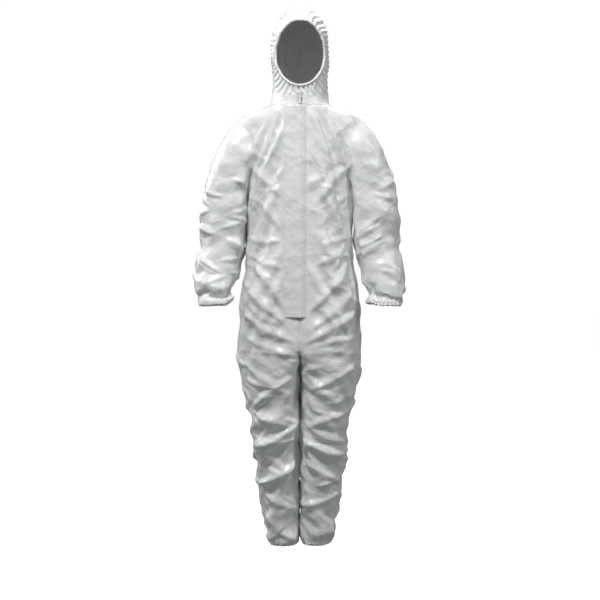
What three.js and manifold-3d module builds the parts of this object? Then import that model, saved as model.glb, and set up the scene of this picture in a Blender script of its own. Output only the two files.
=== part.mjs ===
// Hooded chemical protective coverall, in the shape that it takes on a standing wearer.
//
// Millimetres. +X is the wearer's left, -Y the front and +Z up. Heights are measured above the ankle hems,
// and the whole suit is lowered at the end so that the origin lies between the wearer's shoulders,
// which carry it. Every fabric panel is a thin closed shell; SEAM is the gap between two sewn panels.
import * as THREE from "three";
import { mergeVertices } from "three/addons/utils/BufferGeometryUtils.js";
import Module from "manifold-3d";

const wasm = await Module();
wasm.setup();

// ---------------------------------------------------------------- driving dimensions

const FABRIC = 2; // thickness of a fabric shell
const SEAM = 0.4; // gap between two panels that are sewn together
const TOUCH = 0.3; // gap between a loose piece and what it lies on

const KNEE_HEIGHT = 345; // ankle hem to the bend of the knee
const INSEAM = 600; // ankle hem to the crotch
const LEG_LINE_RISE = 100; // how much higher the leg line is at the hip than at the crotch
const BODY_RISE = 683; // crotch to the shoulder point
const HIP_HALF = 188; // half of the widths across the body
const WAIST_HALF = 164;
const CHEST_HALF = 166;
const ANKLE_HALF = 92;
const SEAT_DEPTH = 148; // centre plane to the back at the seat
const BACK_DEPTH = 130; // centre plane to the back at the chest
const BELLY_DEPTH = 132; // centre plane to the front at the crotch
const ZIP_LEAN = 0.0464; // how far the front leans back for each millimetre up

const ARMHOLE_HEIGHT = 173; // armpit to the shoulder point
const ARMHOLE_HALF_DEPTH = 70;
const UPPER_SLEEVE = 205; // armpit to the bend of the elbow
const LOWER_SLEEVE = 187; // elbow to the end of the cuff
const CUFF_WIDTH = 88;
const CUFF_CLEARANCE = 18; // between the hip and the cuff that hangs beside it

const NECK_HALF = 90;
const NECK_DEPTH = 80; // centre plane to the nape
const NECK_SEAM_RISE = 28; // shoulder point to the neck seam
const HOOD_HEIGHT = 313; // neck seam to the crown
const HOOD_HALF = 92;
const HOOD_DEPTH = 118; // centre plane to the back of the head
const HOOD_FRONT = 98; // centre plane to the rim of the face opening
const FACE_HALF_WIDTH = 74;
const FACE_HALF_HEIGHT = 98;
const FACE_CENTRE_RISE = 156; // neck seam to the middle of the face opening
const FOLD_RISE = 32; // neck seam to the line where the hood folds back
const FOLD_TILT = 0.1; // the fold line runs higher at the chin than at the nape

const HEM_HEIGHT = 14; // width of the elasticated hems
const ELASTIC_RADIUS = 3; // face elastic in its casing
const WAIST_ELASTIC_WIDTH = 18;
const WAIST_ELASTIC_THICKNESS = 1.2;

const ZIP_START_RISE = 90; // crotch to the bottom end of the zip
const ZIP_GAP_HALF = 7; // panel edges stand this far from the centre line beside the zip
const PLACKET_HALF = 22; // the front is flat this far from the centre line
const TAPE_WIDTH = 11.5;
const TAPE_THICKNESS = 0.8;
const COIL_INNER = 0.7;
const COIL_WIDTH = 2.5;
const COIL_THICKNESS = 2.4;
const STOP_LENGTH = 3;
const SLIDER_WIDTH = 11;
const SLIDER_LENGTH = 14;
const SLIDER_FRONT = 2.6; // thickness of the slider's front plate
const SLIDER_BACK = 1.6;
const SLIDER_CLEARANCE = 0.4;
const PULL_LENGTH = 27;
const PULL_WIDTH = 5.6;
const PULL_THICKNESS = 1.2;
const PIN_RADIUS = 0.9;

const FLAP_FREE_EDGE = 48; // zip centre line to the flap's loose edge
const FLAP_SEWN_EDGE = 16; // zip centre line to the flap's sewn edge
const FLAP_THICKNESS = 1.2;
const FLAP_CLEARANCE = 1.6; // between the flap and the zip pull as it travels underneath
const ADHESIVE_WIDTH = 12;
const ADHESIVE_THICKNESS = 0.6;

const LABEL_WIDTH = 40;
const LABEL_HEIGHT = 55;
const LABEL_THICKNESS = 0.8;

// ---------------------------------------------------------------- derived heights

const SHOULDER = INSEAM + BODY_RISE;
const ARMPIT = SHOULDER - ARMHOLE_HEIGHT;
const NECK_SEAM = SHOULDER + NECK_SEAM_RISE;
const FOLD = NECK_SEAM + FOLD_RISE;
const FACE_CENTRE = NECK_SEAM + FACE_CENTRE_RISE;
const ELBOW = ARMPIT - UPPER_SLEEVE;
const CUFF_END = ELBOW - LOWER_SLEEVE;
const WAIST = INSEAM + 0.395 * BODY_RISE;
const ZIP_BOTTOM = INSEAM + ZIP_START_RISE;
const FLAT_LEG_LINE = ZIP_BOTTOM - 16;
const HIP_TOP = INSEAM + 0.335 * BODY_RISE;

// The centre front is one straight line from crotch to chin, because the zip runs along it.
const frontDepth = (z) => BELLY_DEPTH - ZIP_LEAN * (z - INSEAM);

// The armhole is a slanted ellipse from the armpit to the shoulder point.
const ARMHOLE_LEAN = 20;
const armholeShare = (z) => THREE.MathUtils.clamp((z - ARMPIT) / ARMHOLE_HEIGHT, 0, 1);
const armholeX = (z) => CHEST_HALF - 1 + ARMHOLE_LEAN * armholeShare(z);
function armholeOpening(z) {
  const t = 2 * armholeShare(z) - 1;
  return Math.max(SEAM / 2, ARMHOLE_HALF_DEPTH * Math.sqrt(Math.max(0, 1 - t * t)));
}

// ---------------------------------------------------------------- solids

// A body from its faces, turned so that they point out.
function solid(points, faces) {
  const geometry = new THREE.BufferGeometry();
  geometry.setAttribute("position", new THREE.Float32BufferAttribute(points.flatMap((p) => [p.x, p.y, p.z]), 3));
  let volume = 0;
  for (const [a, b, c] of faces) {
    volume += points[a].dot(new THREE.Vector3().crossVectors(points[b], points[c]));
  }
  geometry.setIndex(faces.flatMap(([a, b, c]) => (volume > 0 ? [a, b, c] : [a, c, b])));
  return geometry;
}

// A shell between rows of outer points and the same rows of inner points. `closed` joins each row's ends.
function shell(outer, inner, closed = false) {
  const rows = outer.length;
  const columns = outer[0].length;
  const points = [...outer.flat(), ...inner.flat()];
  const out = (i, j) => i * columns + (j % columns);
  const inn = (i, j) => rows * columns + out(i, j);
  const faces = [];
  const quad = (a, b, c, d) => faces.push([a, b, c], [a, c, d]);
  const steps = closed ? columns : columns - 1;
  for (let i = 0; i < rows - 1; i++) {
    for (let j = 0; j < steps; j++) {
      quad(out(i, j), out(i, j + 1), out(i + 1, j + 1), out(i + 1, j));
      quad(inn(i, j), inn(i + 1, j), inn(i + 1, j + 1), inn(i, j + 1));
    }
  }
  for (let j = 0; j < steps; j++) {
    quad(out(0, j), inn(0, j), inn(0, j + 1), out(0, j + 1));
    quad(out(rows - 1, j), out(rows - 1, j + 1), inn(rows - 1, j + 1), inn(rows - 1, j));
  }
  for (let i = 0; i < rows - 1 && !closed; i++) {
    quad(out(i, 0), out(i + 1, 0), inn(i + 1, 0), inn(i, 0));
    quad(out(i, columns - 1), inn(i, columns - 1), inn(i + 1, columns - 1), out(i + 1, columns - 1));
  }
  return solid(points, faces);
}

function box(x0, x1, y0, y1, z0, z1) {
  const geometry = new THREE.BoxGeometry(x1 - x0, y1 - y0, z1 - z0);
  return geometry.translate((x0 + x1) / 2, (y0 + y1) / 2, (z0 + z1) / 2);
}

function rod(radius, length, segments = 16) {
  return new THREE.CylinderGeometry(radius, radius, length, segments).rotateZ(Math.PI / 2);
}

function toManifold(geometry) {
  const plain = geometry.clone();
  plain.deleteAttribute("normal");
  plain.deleteAttribute("uv");
  const merged = mergeVertices(plain, 1e-4);
  const vertProperties = new Float32Array(merged.attributes.position.array);
  return new wasm.Manifold(new wasm.Mesh({ numProp: 3, vertProperties, triVerts: new Uint32Array(merged.index.array) }));
}

function fromManifold(body) {
  const mesh = body.getMesh();
  const geometry = new THREE.BufferGeometry();
  geometry.setAttribute("position", new THREE.Float32BufferAttribute(mesh.vertProperties, 3));
  geometry.setIndex([...mesh.triVerts]);
  return geometry;
}

// ---------------------------------------------------------------- stations

// Stations carry named sizes and are sorted by `at`. Between two stations every size changes evenly.
function stationAt(stations, at) {
  const last = stations.length - 2;
  const i = Math.min(last, Math.max(0, stations.findIndex((s, n) => n > 0 && s.at >= at) - 1));
  const [a, b] = [stations[i], stations[i + 1]];
  const t = (at - a.at) / (b.at - a.at);
  return Object.fromEntries(Object.keys(a).map((k) => [k, a[k] + (b[k] - a[k]) * t]));
}

function between(stations, from, to) {
  const inside = stations.filter((s) => s.at > from + SEAM && s.at < to - SEAM);
  return [stationAt(stations, from), ...inside, stationAt(stations, to)];
}

// ---------------------------------------------------------------- torso

// half: centre line to the side seam or armhole edge. back: centre plane to the back.
// slope: how much a ring climbs from the centre to the side. drop: the lining side is this much lower.
// gap: half of the gap between the front panels.
function torsoStation(at, half, back, slope = 0, drop = 0, gap = ZIP_GAP_HALF) {
  return { at, half, back, slope, drop, gap, opening: at > ARMPIT ? armholeOpening(at) : SEAM / 2 };
}

function torsoTable() {
  const rise = LEG_LINE_RISE / HIP_HALF;
  const armholeRows = [0.22, 0.5, 0.78].map((t) => ARMPIT + t * ARMHOLE_HEIGHT);
  const armholeBack = [1, 0.98, 0.91];
  return [
    torsoStation(INSEAM, HIP_HALF, SEAT_DEPTH, rise, 0, SEAM / 2),
    torsoStation(FLAT_LEG_LINE, HIP_HALF, SEAT_DEPTH, 0.6 * rise, 0, SEAM / 2),
    torsoStation(FLAT_LEG_LINE + 12, HIP_HALF - 1, SEAT_DEPTH, 0.56 * rise),
    torsoStation(INSEAM + 0.235 * BODY_RISE, HIP_HALF - 6, SEAT_DEPTH - 2, 0.25 * rise),
    torsoStation(HIP_TOP, 0.3 * HIP_HALF + 0.7 * WAIST_HALF, 0.5 * (SEAT_DEPTH + BACK_DEPTH)),
    torsoStation(WAIST, WAIST_HALF + 1, BACK_DEPTH - 10),
    torsoStation(INSEAM + 0.455 * BODY_RISE, WAIST_HALF, BACK_DEPTH - 12),
    torsoStation(INSEAM + 0.59 * BODY_RISE, WAIST_HALF, BACK_DEPTH - 6),
    torsoStation(ARMPIT, armholeX(ARMPIT), BACK_DEPTH),
    ...armholeRows.map((z, i) => torsoStation(z, armholeX(z), BACK_DEPTH * armholeBack[i])),
    torsoStation(SHOULDER, armholeX(SHOULDER), 0.77 * BACK_DEPTH, 0, FABRIC),
    torsoStation(SHOULDER + 0.6 * NECK_SEAM_RISE, 0.55 * NECK_HALF + 0.45 * armholeX(SHOULDER), 1.1 * NECK_DEPTH, 0, FABRIC),
    torsoStation(NECK_SEAM, NECK_HALF, NECK_DEPTH, 0, FABRIC),
  ];
}

const FRONT_STEPS = 7;
const BACK_STEPS = 14;

// One row of a front panel, from the centre front round to the side. `inset` moves it inwards.
function frontRow(station, side, inset) {
  const depth = frontDepth(station.at) - inset;
  const placket = PLACKET_HALF;
  const row = [new THREE.Vector3(station.gap, -depth, 0)];
  for (let j = 0; j <= FRONT_STEPS; j++) {
    const angle = (j / FRONT_STEPS) * (Math.PI / 2);
    const x = placket + (station.half - inset - placket) * Math.sin(angle);
    row.push(new THREE.Vector3(x, -(station.opening + (depth - station.opening) * Math.cos(angle)), 0));
  }
  const drop = inset > 0 ? station.drop : 0;
  return row.map((p) => new THREE.Vector3(side * p.x, p.y, station.at + station.slope * p.x - drop));
}

// One row of the back, from the right side seam round to the left one, less `trim` steps at both ends.
function backRow(station, inset, trim = 0) {
  const depth = station.back - inset;
  const row = [];
  for (let j = trim; j <= BACK_STEPS - trim; j++) {
    const angle = (j / BACK_STEPS - 0.5) * Math.PI;
    const x = (station.half - inset) * Math.sin(angle);
    const y = station.opening + (depth - station.opening) * Math.cos(angle);
    const drop = inset > 0 ? station.drop : 0;
    row.push(new THREE.Vector3(x, y, station.at + station.slope * Math.abs(x) - drop));
  }
  return row;
}

function frontPanel(side) {
  const stations = between(torsoTable(), INSEAM + SEAM / 2, NECK_SEAM - SEAM / 2);
  return shell(stations.map((s) => frontRow(s, side, 0)), stations.map((s) => frontRow(s, side, FABRIC)));
}

function backPanel(from, to) {
  const stations = between(torsoTable(), from, to);
  return shell(stations.map((s) => backRow(s, 0)), stations.map((s) => backRow(s, FABRIC)));
}

// A band that lies on the lining side of the back, such as the waist elastic.
function backLining(from, to, trim, thickness) {
  const stations = between(torsoTable(), from, to);
  const rows = (inset) => stations.map((s) => backRow(s, inset, trim));
  return shell(rows(FABRIC + 2 * TOUCH), rows(FABRIC + 2 * TOUCH + thickness));
}

// The care label hangs flat from the neck seam, and its top corners touch the lining side.
function careLabel() {
  const top = NECK_SEAM - 3;
  const half = LABEL_WIDTH / 2;
  const row = backRow(stationAt(torsoTable(), top + FABRIC), FABRIC);
  const next = row.findIndex((p) => p.x > half);
  const [a, b] = [row[next - 1], row[next]];
  const face = a.y + ((b.y - a.y) * (half - a.x)) / (b.x - a.x) - TOUCH;
  return box(-half, half, face - LABEL_THICKNESS, face, top - LABEL_HEIGHT, top);
}

// ---------------------------------------------------------------- sleeves and legs

// A limb station is a ring between an inner point and an outer point, seen from the front.
// corner: 0 is an ellipse, 1 is half of the body's oval with a flat inner side.
const HALF_RING_STEPS = 8;

function limbTable(rows) {
  let at = 0;
  return rows.map(([ix, iz, ox, oz, front, back, corner = 0], i) => {
    if (i > 0) {
      const [px, pz, qx, qz] = rows[i - 1];
      at += Math.hypot(ix + ox - px - qx, iz + oz - pz - qz) / 2;
    }
    return { at, ix, iz, ox, oz, front, back, corner };
  });
}

function sleeveTable() {
  const x = CHEST_HALF;
  const up = (share) => ARMPIT + share * ARMHOLE_HEIGHT;
  const upper = (share) => ELBOW + share * UPPER_SLEEVE;
  const lower = (share) => CUFF_END + share * LOWER_SLEEVE;
  const cuff = HIP_HALF + CUFF_CLEARANCE;
  const depth = ARMHOLE_HALF_DEPTH;
  return limbTable([
    [armholeX(ARMPIT) + SEAM, ARMPIT, armholeX(SHOULDER) + SEAM, SHOULDER, -depth, depth],
    [x + 2, ARMPIT - 12, x + 60, up(0.77), -depth - 2, depth + 5],
    [x + 3, ARMPIT - 30, x + 93, up(0.39), -depth - 2, depth + 8],
    [x + 4, upper(0.72), x + 120, upper(0.98), -depth, depth + 10],
    [x + 5.5, upper(0.51), x + 135, upper(0.63), -depth + 2, depth + 10],
    [x + 6, upper(0.27), x + 140, upper(0.34), -depth + 4, depth + 10],
    [x + 10, ELBOW, x + 134, ELBOW, -depth + 6, depth + 12],
    [x + 22, lower(0.8), x + 153, lower(0.77), -depth - 2, depth + 8],
    [cuff - 8, lower(0.545), cuff + 112, lower(0.5), -depth - 15, depth - 15],
    [cuff + 3, lower(0.305), cuff + 103, lower(0.27), -depth - 28, depth - 48],
    [cuff, CUFF_END + HEM_HEIGHT + 6, cuff + CUFF_WIDTH + 2, CUFF_END + HEM_HEIGHT, -depth - 32, depth - 74],
    [cuff, CUFF_END + 6, cuff + CUFF_WIDTH, CUFF_END, -depth - 33, depth - 76],
  ]);
}

const ELBOW_ROW = 6;
const KNEE_ROW = 5;

function legTable() {
  const gap = 1.5;
  const legLine = INSEAM - SEAM / 2;
  const below = (share) => share * INSEAM;
  const shin = (share) => share * KNEE_HEIGHT;
  const knee = 0.5 * HIP_HALF + 0.5 * ANKLE_HALF;
  return limbTable([
    [gap, legLine, HIP_HALF, legLine + LEG_LINE_RISE, -frontDepth(INSEAM), SEAT_DEPTH, 1],
    [gap, below(0.935), HIP_HALF + 3, below(0.975), -122, 140, 0.75],
    [gap, below(0.835), HIP_HALF - 9, below(0.835), -110, 120, 0.4],
    [gap + 0.5, below(0.72), 0.75 * HIP_HALF + 0.25 * ANKLE_HALF - 4, below(0.72), -100, 95, 0.15],
    [gap + 1, 1.09 * KNEE_HEIGHT, knee + 12, 1.09 * KNEE_HEIGHT, -95, 80],
    [gap + 1.5, KNEE_HEIGHT, knee + 8, KNEE_HEIGHT, -92, 72],
    [gap + 1.5, shin(0.87), knee + 6, shin(0.87), -85, 78],
    [gap + 1.5, shin(0.68), knee - 6, shin(0.68), -72, 85],
    [gap + 1.5, shin(0.46), knee - 13, shin(0.46), -62, 85],
    [gap + 2.5, shin(0.26), 0.8 * ANKLE_HALF + 0.2 * knee + 16, shin(0.26), -58, 78],
    [gap + 2.5, shin(0.12), ANKLE_HALF + 10, shin(0.12), -55, 68],
    [gap + 3.5, HEM_HEIGHT, ANKLE_HALF, HEM_HEIGHT, -48, 60],
    [gap + 4.5, 0, ANKLE_HALF - 4, 0, -46, 57],
  ]);
}

// Half of a ring: `half` is -1 for the front and 1 for the back. It runs from the inner to the outer seam.
function halfRing(station, side, half, inset, seam = SEAM) {
  const { ix, iz, ox, oz, front, back, corner } = station;
  const width = Math.hypot(ox - ix, oz - iz);
  const middle = (front + back) / 2;
  const radius = (back - front) / 2;
  const row = [];
  for (let j = 0; j <= HALF_RING_STEPS; j++) {
    const t = j / HALF_RING_STEPS;
    const round = [(1 - Math.cos(Math.PI * t)) / 2, half * radius * Math.sin(Math.PI * t)];
    const turn = Math.max(0, (t - 0.25) / 0.75) * (Math.PI / 2);
    const square = [Math.sin(turn), half * radius * (t < 0.25 ? t / 0.25 : Math.cos(turn))];
    const share = round[0] + (square[0] - round[0]) * corner;
    const across = 0.5 + (share - 0.5) * (1 - (2 * inset) / width);
    let y = (round[1] + (square[1] - round[1]) * corner) * (1 - inset / radius);
    if (j === 0 || j === HALF_RING_STEPS) y = (half * seam) / 2;
    row.push(new THREE.Vector3(side * (ix + (ox - ix) * across), middle + y, iz + (oz - iz) * across));
  }
  return row;
}

function limbPanel(stations, side, half) {
  return shell(
    stations.map((s) => halfRing(s, side, half, 0)),
    stations.map((s) => halfRing(s, side, half, FABRIC)),
  );
}

function limbBand(stations, side) {
  const row = (station, inset) => [
    ...halfRing(station, side, -1, inset, 0).slice(0, -1),
    ...halfRing(station, side, 1, inset, 0).reverse().slice(0, -1),
  ];
  return shell(stations.map((s) => row(s, 0)), stations.map((s) => row(s, FABRIC)), true);
}

// ---------------------------------------------------------------- hood

// half, front and back are the ring's reach to the side, the chin and the nape. tilt raises it at the front.
// open is 1 where the ring stops at the face opening.
function hoodTable() {
  const rise = (share) => NECK_SEAM + share * HOOD_HEIGHT;
  const face = (share) => FACE_CENTRE + share * FACE_HALF_HEIGHT;
  const row = (at, half, front, back, tilt = 0) => ({
    at,
    half: half * HOOD_HALF,
    front: front * HOOD_FRONT,
    back: back * HOOD_DEPTH,
    tilt,
  });
  const collarFront = frontDepth(FOLD) / HOOD_FRONT;
  const neckBack = NECK_DEPTH / HOOD_DEPTH;
  return [
    row(NECK_SEAM, NECK_HALF / HOOD_HALF, frontDepth(NECK_SEAM) / HOOD_FRONT, neckBack),
    row(FOLD, 0.93, collarFront, neckBack - 0.02, FOLD_TILT),
    row(face(-1) - 5, 0.915, 1, neckBack, 0.04),
    row(face(-0.98), 0.92, 1.01, 0.7),
    row(face(-0.91), 0.92, 1.02, 0.73),
    row(face(-0.76), 0.93, 1.02, 0.78),
    row(face(-0.43), 0.97, 1.02, 0.87),
    row(face(0), 1, 1.02, 0.96),
    row(face(0.43), 0.985, 1, 1),
    row(face(0.76), 0.92, 0.95, 1),
    row(face(0.91), 0.84, 0.9, 0.97),
    row(face(0.98), 0.81, 0.87, 0.96),
    row(rise(0.83), 0.79, 0.85, 0.95),
    row(rise(0.89), 0.67, 0.72, 0.84),
    row(rise(0.94), 0.51, 0.55, 0.66),
    row(rise(0.98), 0.29, 0.32, 0.38),
    row(rise(1), 0.05, 0.05, 0.06),
  ];
}

const HOOD_STEPS = 11;

// Half-width of the face opening at a height.
function faceHalf(z) {
  const t = (z - FACE_CENTRE) / FACE_HALF_HEIGHT;
  return Math.abs(t) < 1 ? FACE_HALF_WIDTH * Math.sqrt(1 - t * t) : 0;
}

// A ring from the centre back round one side to the front. `gap` is what it leaves at both ends.
function hoodRow(station, side, inset, frontGap) {
  const half = station.half - Math.min(inset, 0.6 * station.half);
  const stop = Math.max(frontGap, station.tilt ? 0 : faceHalf(station.at));
  const from = Math.asin(SEAM / 2 / half);
  const to = Math.PI - Math.asin(Math.min(0.98, stop / half));
  const drop = station.at > FACE_CENTRE ? inset * Math.max(0, 1 - station.half / HOOD_HALF) : 0;
  const row = [];
  for (let j = 0; j <= HOOD_STEPS; j++) {
    const angle = THREE.MathUtils.lerp(from, to, j / HOOD_STEPS);
    const reach = Math.cos(angle) > 0 ? station.back : station.front;
    const y = (reach - Math.min(inset, 0.6 * reach)) * Math.cos(angle);
    row.push(new THREE.Vector3(side * half * Math.sin(angle), y, station.at - station.tilt * y - drop));
  }
  return row;
}

function hoodPanel(side) {
  const stations = hoodTable().slice(1);
  stations[0] = { ...stations[0], at: stations[0].at + SEAM / 2 };
  const rows = (inset) => stations.map((s) => hoodRow(s, side, inset, SEAM / 2));
  return shell(rows(0), rows(FABRIC));
}

// The neck panel keeps a flat strip beside the zip, as the front panels do.
function neckPanel(side) {
  const [seam, fold] = hoodTable();
  const stations = [{ ...seam, at: seam.at + SEAM / 2 }, { ...fold, at: fold.at - SEAM / 2 }];
  const row = (station, inset) => {
    const edge = hoodRow(station, side, inset, PLACKET_HALF);
    const front = inset - frontDepth(station.at + station.tilt * frontDepth(station.at));
    const height = station.at - station.tilt * front;
    const last = edge.length - 1;
    edge[last] = new THREE.Vector3(side * PLACKET_HALF, front, height);
    edge.push(new THREE.Vector3(side * ZIP_GAP_HALF, front, height));
    return edge;
  };
  return shell(stations.map((s) => row(s, 0)), stations.map((s) => row(s, FABRIC)));
}

// Middle of the hood's edge round the face opening, from the chin up the left side and down the right.
function faceRim() {
  const rim = hoodTable().slice(2).filter((s) => s.at < FACE_CENTRE + FACE_HALF_HEIGHT + 8);
  const points = rim.map((s) => {
    const outer = hoodRow(s, 1, 0, 0).at(-1);
    return outer.add(hoodRow(s, 1, FABRIC, 0).at(-1)).multiplyScalar(0.5);
  });
  const right = points.slice(1, -1).map((p) => new THREE.Vector3(-p.x, p.y, p.z));
  return [...points, ...right.reverse()];
}

// Elastic in its casing, just inside the rim of the face opening.
function faceElastic() {
  const rim = faceRim();
  const steps = rim.length;
  const sides = 6;
  const at = (list, j) => list[(j + steps) % steps];
  const normal = (j) => {
    const edge = at(rim, j + 1).clone().sub(at(rim, j)).setY(0).normalize();
    return new THREE.Vector3(-edge.z, 0, edge.x);
  };
  const path = rim.map((p, j) => {
    const corner = normal(j - 1).add(normal(j));
    return p.clone().addScaledVector(corner, (2 * (ELASTIC_RADIUS + TOUCH)) / corner.lengthSq());
  });
  const rings = path.map((p, j) => {
    const along = at(path, j + 1).clone().sub(at(path, j - 1)).normalize();
    const out = new THREE.Vector3(along.z, 0, -along.x).normalize();
    const over = new THREE.Vector3().crossVectors(along, out);
    return Array.from({ length: sides }, (_, k) => {
      const turn = (k / sides) * 2 * Math.PI;
      const offset = out.clone().multiplyScalar(Math.cos(turn)).addScaledVector(over, Math.sin(turn));
      return p.clone().addScaledVector(offset, ELASTIC_RADIUS);
    });
  });
  const faces = [];
  const vertex = (i, j) => (i % steps) * sides + (j % sides);
  for (let i = 0; i < steps; i++) {
    for (let j = 0; j < sides; j++) {
      faces.push([vertex(i, j), vertex(i + 1, j), vertex(i + 1, j + 1)]);
      faces.push([vertex(i, j), vertex(i + 1, j + 1), vertex(i, j + 1)]);
    }
  }
  return solid(rings.flat(), faces);
}

// ---------------------------------------------------------------- zip and storm flap

// The zip is drawn upright in its own frame: y 0 is the panels' outer face, -y is outwards, z 0 is its
// bottom end and z ZIP_LENGTH its top end.
const LEAN = Math.atan(ZIP_LEAN);
const ZIP_TOP_HEIGHT = FOLD + FOLD_TILT * frontDepth(FOLD) - 2;
const ZIP_LENGTH = (ZIP_TOP_HEIGHT - ZIP_BOTTOM) / Math.cos(LEAN) - STOP_LENGTH - TOUCH;
const TAPE_FACE = FABRIC + 2 * TOUCH;
const TAPE_MIDDLE = TAPE_FACE + TAPE_THICKNESS / 2;
const COIL_EDGE = COIL_INNER + COIL_WIDTH;
const SLIDER_TOP = ZIP_LENGTH - TOUCH;
const SLIDER_MIDDLE = SLIDER_TOP - SLIDER_LENGTH / 2;
const SLIDER_INNER_FACE = TAPE_MIDDLE - COIL_THICKNESS / 2 - SLIDER_CLEARANCE;
const SLIDER_FACE = SLIDER_INNER_FACE - SLIDER_FRONT;
const PIN_DEPTH = SLIDER_FACE - PIN_RADIUS - SLIDER_CLEARANCE;
const PIN_HEIGHT = SLIDER_MIDDLE + 3.5;
const BRIDGE_WALL = 1.2;
const BRIDGE_FRONT = PIN_DEPTH - PIN_RADIUS - SLIDER_CLEARANCE - 0.6;
const PULL_TIP = PIN_HEIGHT - PULL_LENGTH;
const FLAP_TOP = PULL_TIP - 5;
const FLAP_UNDERSIDE = BRIDGE_FRONT - FLAP_CLEARANCE;

function zipTape(side) {
  const inner = COIL_EDGE + TOUCH;
  const [a, b] = [side * inner, side * (inner + TAPE_WIDTH)].sort((p, q) => p - q);
  return box(a, b, TAPE_FACE, TAPE_FACE + TAPE_THICKNESS, 0, ZIP_LENGTH);
}

// One coil of the chain, as the rounded bar that its turns fill.
function zipCoil(side) {
  const profile = new THREE.Shape();
  profile.absellipse(side * (COIL_INNER + COIL_WIDTH / 2), TAPE_MIDDLE, COIL_WIDTH / 2, COIL_THICKNESS / 2, 0, 2 * Math.PI);
  return new THREE.ExtrudeGeometry(profile, { depth: ZIP_LENGTH, bevelEnabled: false, curveSegments: 10 });
}

function zipStop(x0, x1, z0) {
  return box(x0, x1, TAPE_MIDDLE - 1.5, TAPE_MIDDLE + 1.5, z0, z0 + STOP_LENGTH);
}

function zipSlider() {
  const half = SLIDER_WIDTH / 2;
  const [low, high] = [SLIDER_MIDDLE - SLIDER_LENGTH / 2, SLIDER_TOP];
  const channelBack = TAPE_MIDDLE + COIL_THICKNESS / 2 + SLIDER_CLEARANCE;
  const slot = TAPE_THICKNESS / 2 + SLIDER_CLEARANCE;
  const channel = COIL_EDGE + SLIDER_CLEARANCE;
  const post = COIL_INNER - TOUCH;
  let body = toManifold(box(-half, half, SLIDER_FACE, channelBack + SLIDER_BACK, low, high));
  body = body.subtract(toManifold(box(-channel, channel, SLIDER_INNER_FACE, channelBack, low - 1, high + 1)));
  body = body.subtract(toManifold(box(-half - 1, half + 1, TAPE_MIDDLE - slot, TAPE_MIDDLE + slot, low - 1, high + 1)));
  body = body.add(toManifold(box(-post, post, SLIDER_INNER_FACE - 0.5, channelBack + 0.5, SLIDER_MIDDLE, high - 1)));
  const reach = PIN_RADIUS + SLIDER_CLEARANCE + 0.8;
  const bridge = box(-BRIDGE_WALL, BRIDGE_WALL, BRIDGE_FRONT, SLIDER_FACE + 0.5, PIN_HEIGHT - reach, PIN_HEIGHT + reach);
  const hole = rod(PIN_RADIUS + SLIDER_CLEARANCE, 4 * BRIDGE_WALL).translate(0, PIN_DEPTH, PIN_HEIGHT);
  return fromManifold(body.add(toManifold(bridge)).subtract(toManifold(hole)));
}

function zipPull() {
  const half = PULL_WIDTH / 2;
  const arm = BRIDGE_WALL + 0.5;
  const tabTop = PIN_HEIGHT - 4.2;
  const [back, front] = [PIN_DEPTH + PULL_THICKNESS / 2, PIN_DEPTH - PULL_THICKNESS / 2];
  let body = toManifold(rod(PIN_RADIUS, PULL_WIDTH).translate(0, PIN_DEPTH, PIN_HEIGHT));
  for (const side of [-1, 1]) {
    const [a, b] = [side * arm, side * half].sort((p, q) => p - q);
    body = body.add(toManifold(box(a, b, front, back, tabTop - 0.5, PIN_HEIGHT)));
  }
  body = body.add(toManifold(box(-half, half, front, back, PULL_TIP, tabTop)));
  const grip = rod(half * 0.5, 4).rotateZ(Math.PI / 2).translate(0, PIN_DEPTH, PULL_TIP + 4);
  return fromManifold(body.subtract(toManifold(grip)));
}

// The flap bridges the zip and lies on the panel at both edges.
function stormFlap() {
  const crest = FLAP_UNDERSIDE;
  const under = [
    [FLAP_SEWN_EDGE, -2 * TOUCH],
    [SLIDER_WIDTH / 2 + 4, -2 * TOUCH],
    [SLIDER_WIDTH / 2, crest],
    [-SLIDER_WIDTH / 2, crest],
    [-SLIDER_WIDTH / 2 - 10, 0.6 * crest],
    [-FLAP_FREE_EDGE + ADHESIVE_WIDTH + 4, -ADHESIVE_THICKNESS - 2 * TOUCH],
    [-FLAP_FREE_EDGE, -ADHESIVE_THICKNESS - 2 * TOUCH],
  ];
  const over = under.map(([x, y]) => [x, y - FLAP_THICKNESS]).reverse();
  const profile = new THREE.Shape([...under, ...over].map(([x, y]) => new THREE.Vector2(x, y)));
  return new THREE.ExtrudeGeometry(profile, { depth: FLAP_TOP, bevelEnabled: false });
}

// The adhesive strip is stuck to the flap's underside near the loose edge.
function adhesiveStrip() {
  const edge = -FLAP_FREE_EDGE + 2;
  return box(edge, edge + ADHESIVE_WIDTH, -ADHESIVE_THICKNESS - TOUCH, -TOUCH, 6, FLAP_TOP - 6);
}

// ---------------------------------------------------------------- materials

const material = (color, roughness, metalness = 0) => new THREE.MeshStandardMaterial({ color, roughness, metalness });
const laminate = material(0xf2f3f2, 0.42);
const lining = material(0xe6e8e8, 0.75);
const elastic = material(0xf4f1ea, 0.8);
const tape = material(0xeceded, 0.7);
const nylon = material(0xf0f0ee, 0.4);
const adhesive = material(0xd9dde0, 0.3);
const label = material(0xfafafa, 0.6);

// ---------------------------------------------------------------- assembly

const suit = new THREE.Group();
suit.position.z = -SHOULDER;

function add(parent, name, geometry, finish) {
  const mesh = new THREE.Mesh(geometry, finish);
  mesh.name = name;
  parent.add(mesh);
}

const SIDES = { left: 1, right: -1 };
const HALVES = { front: -1, back: 1 };

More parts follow.
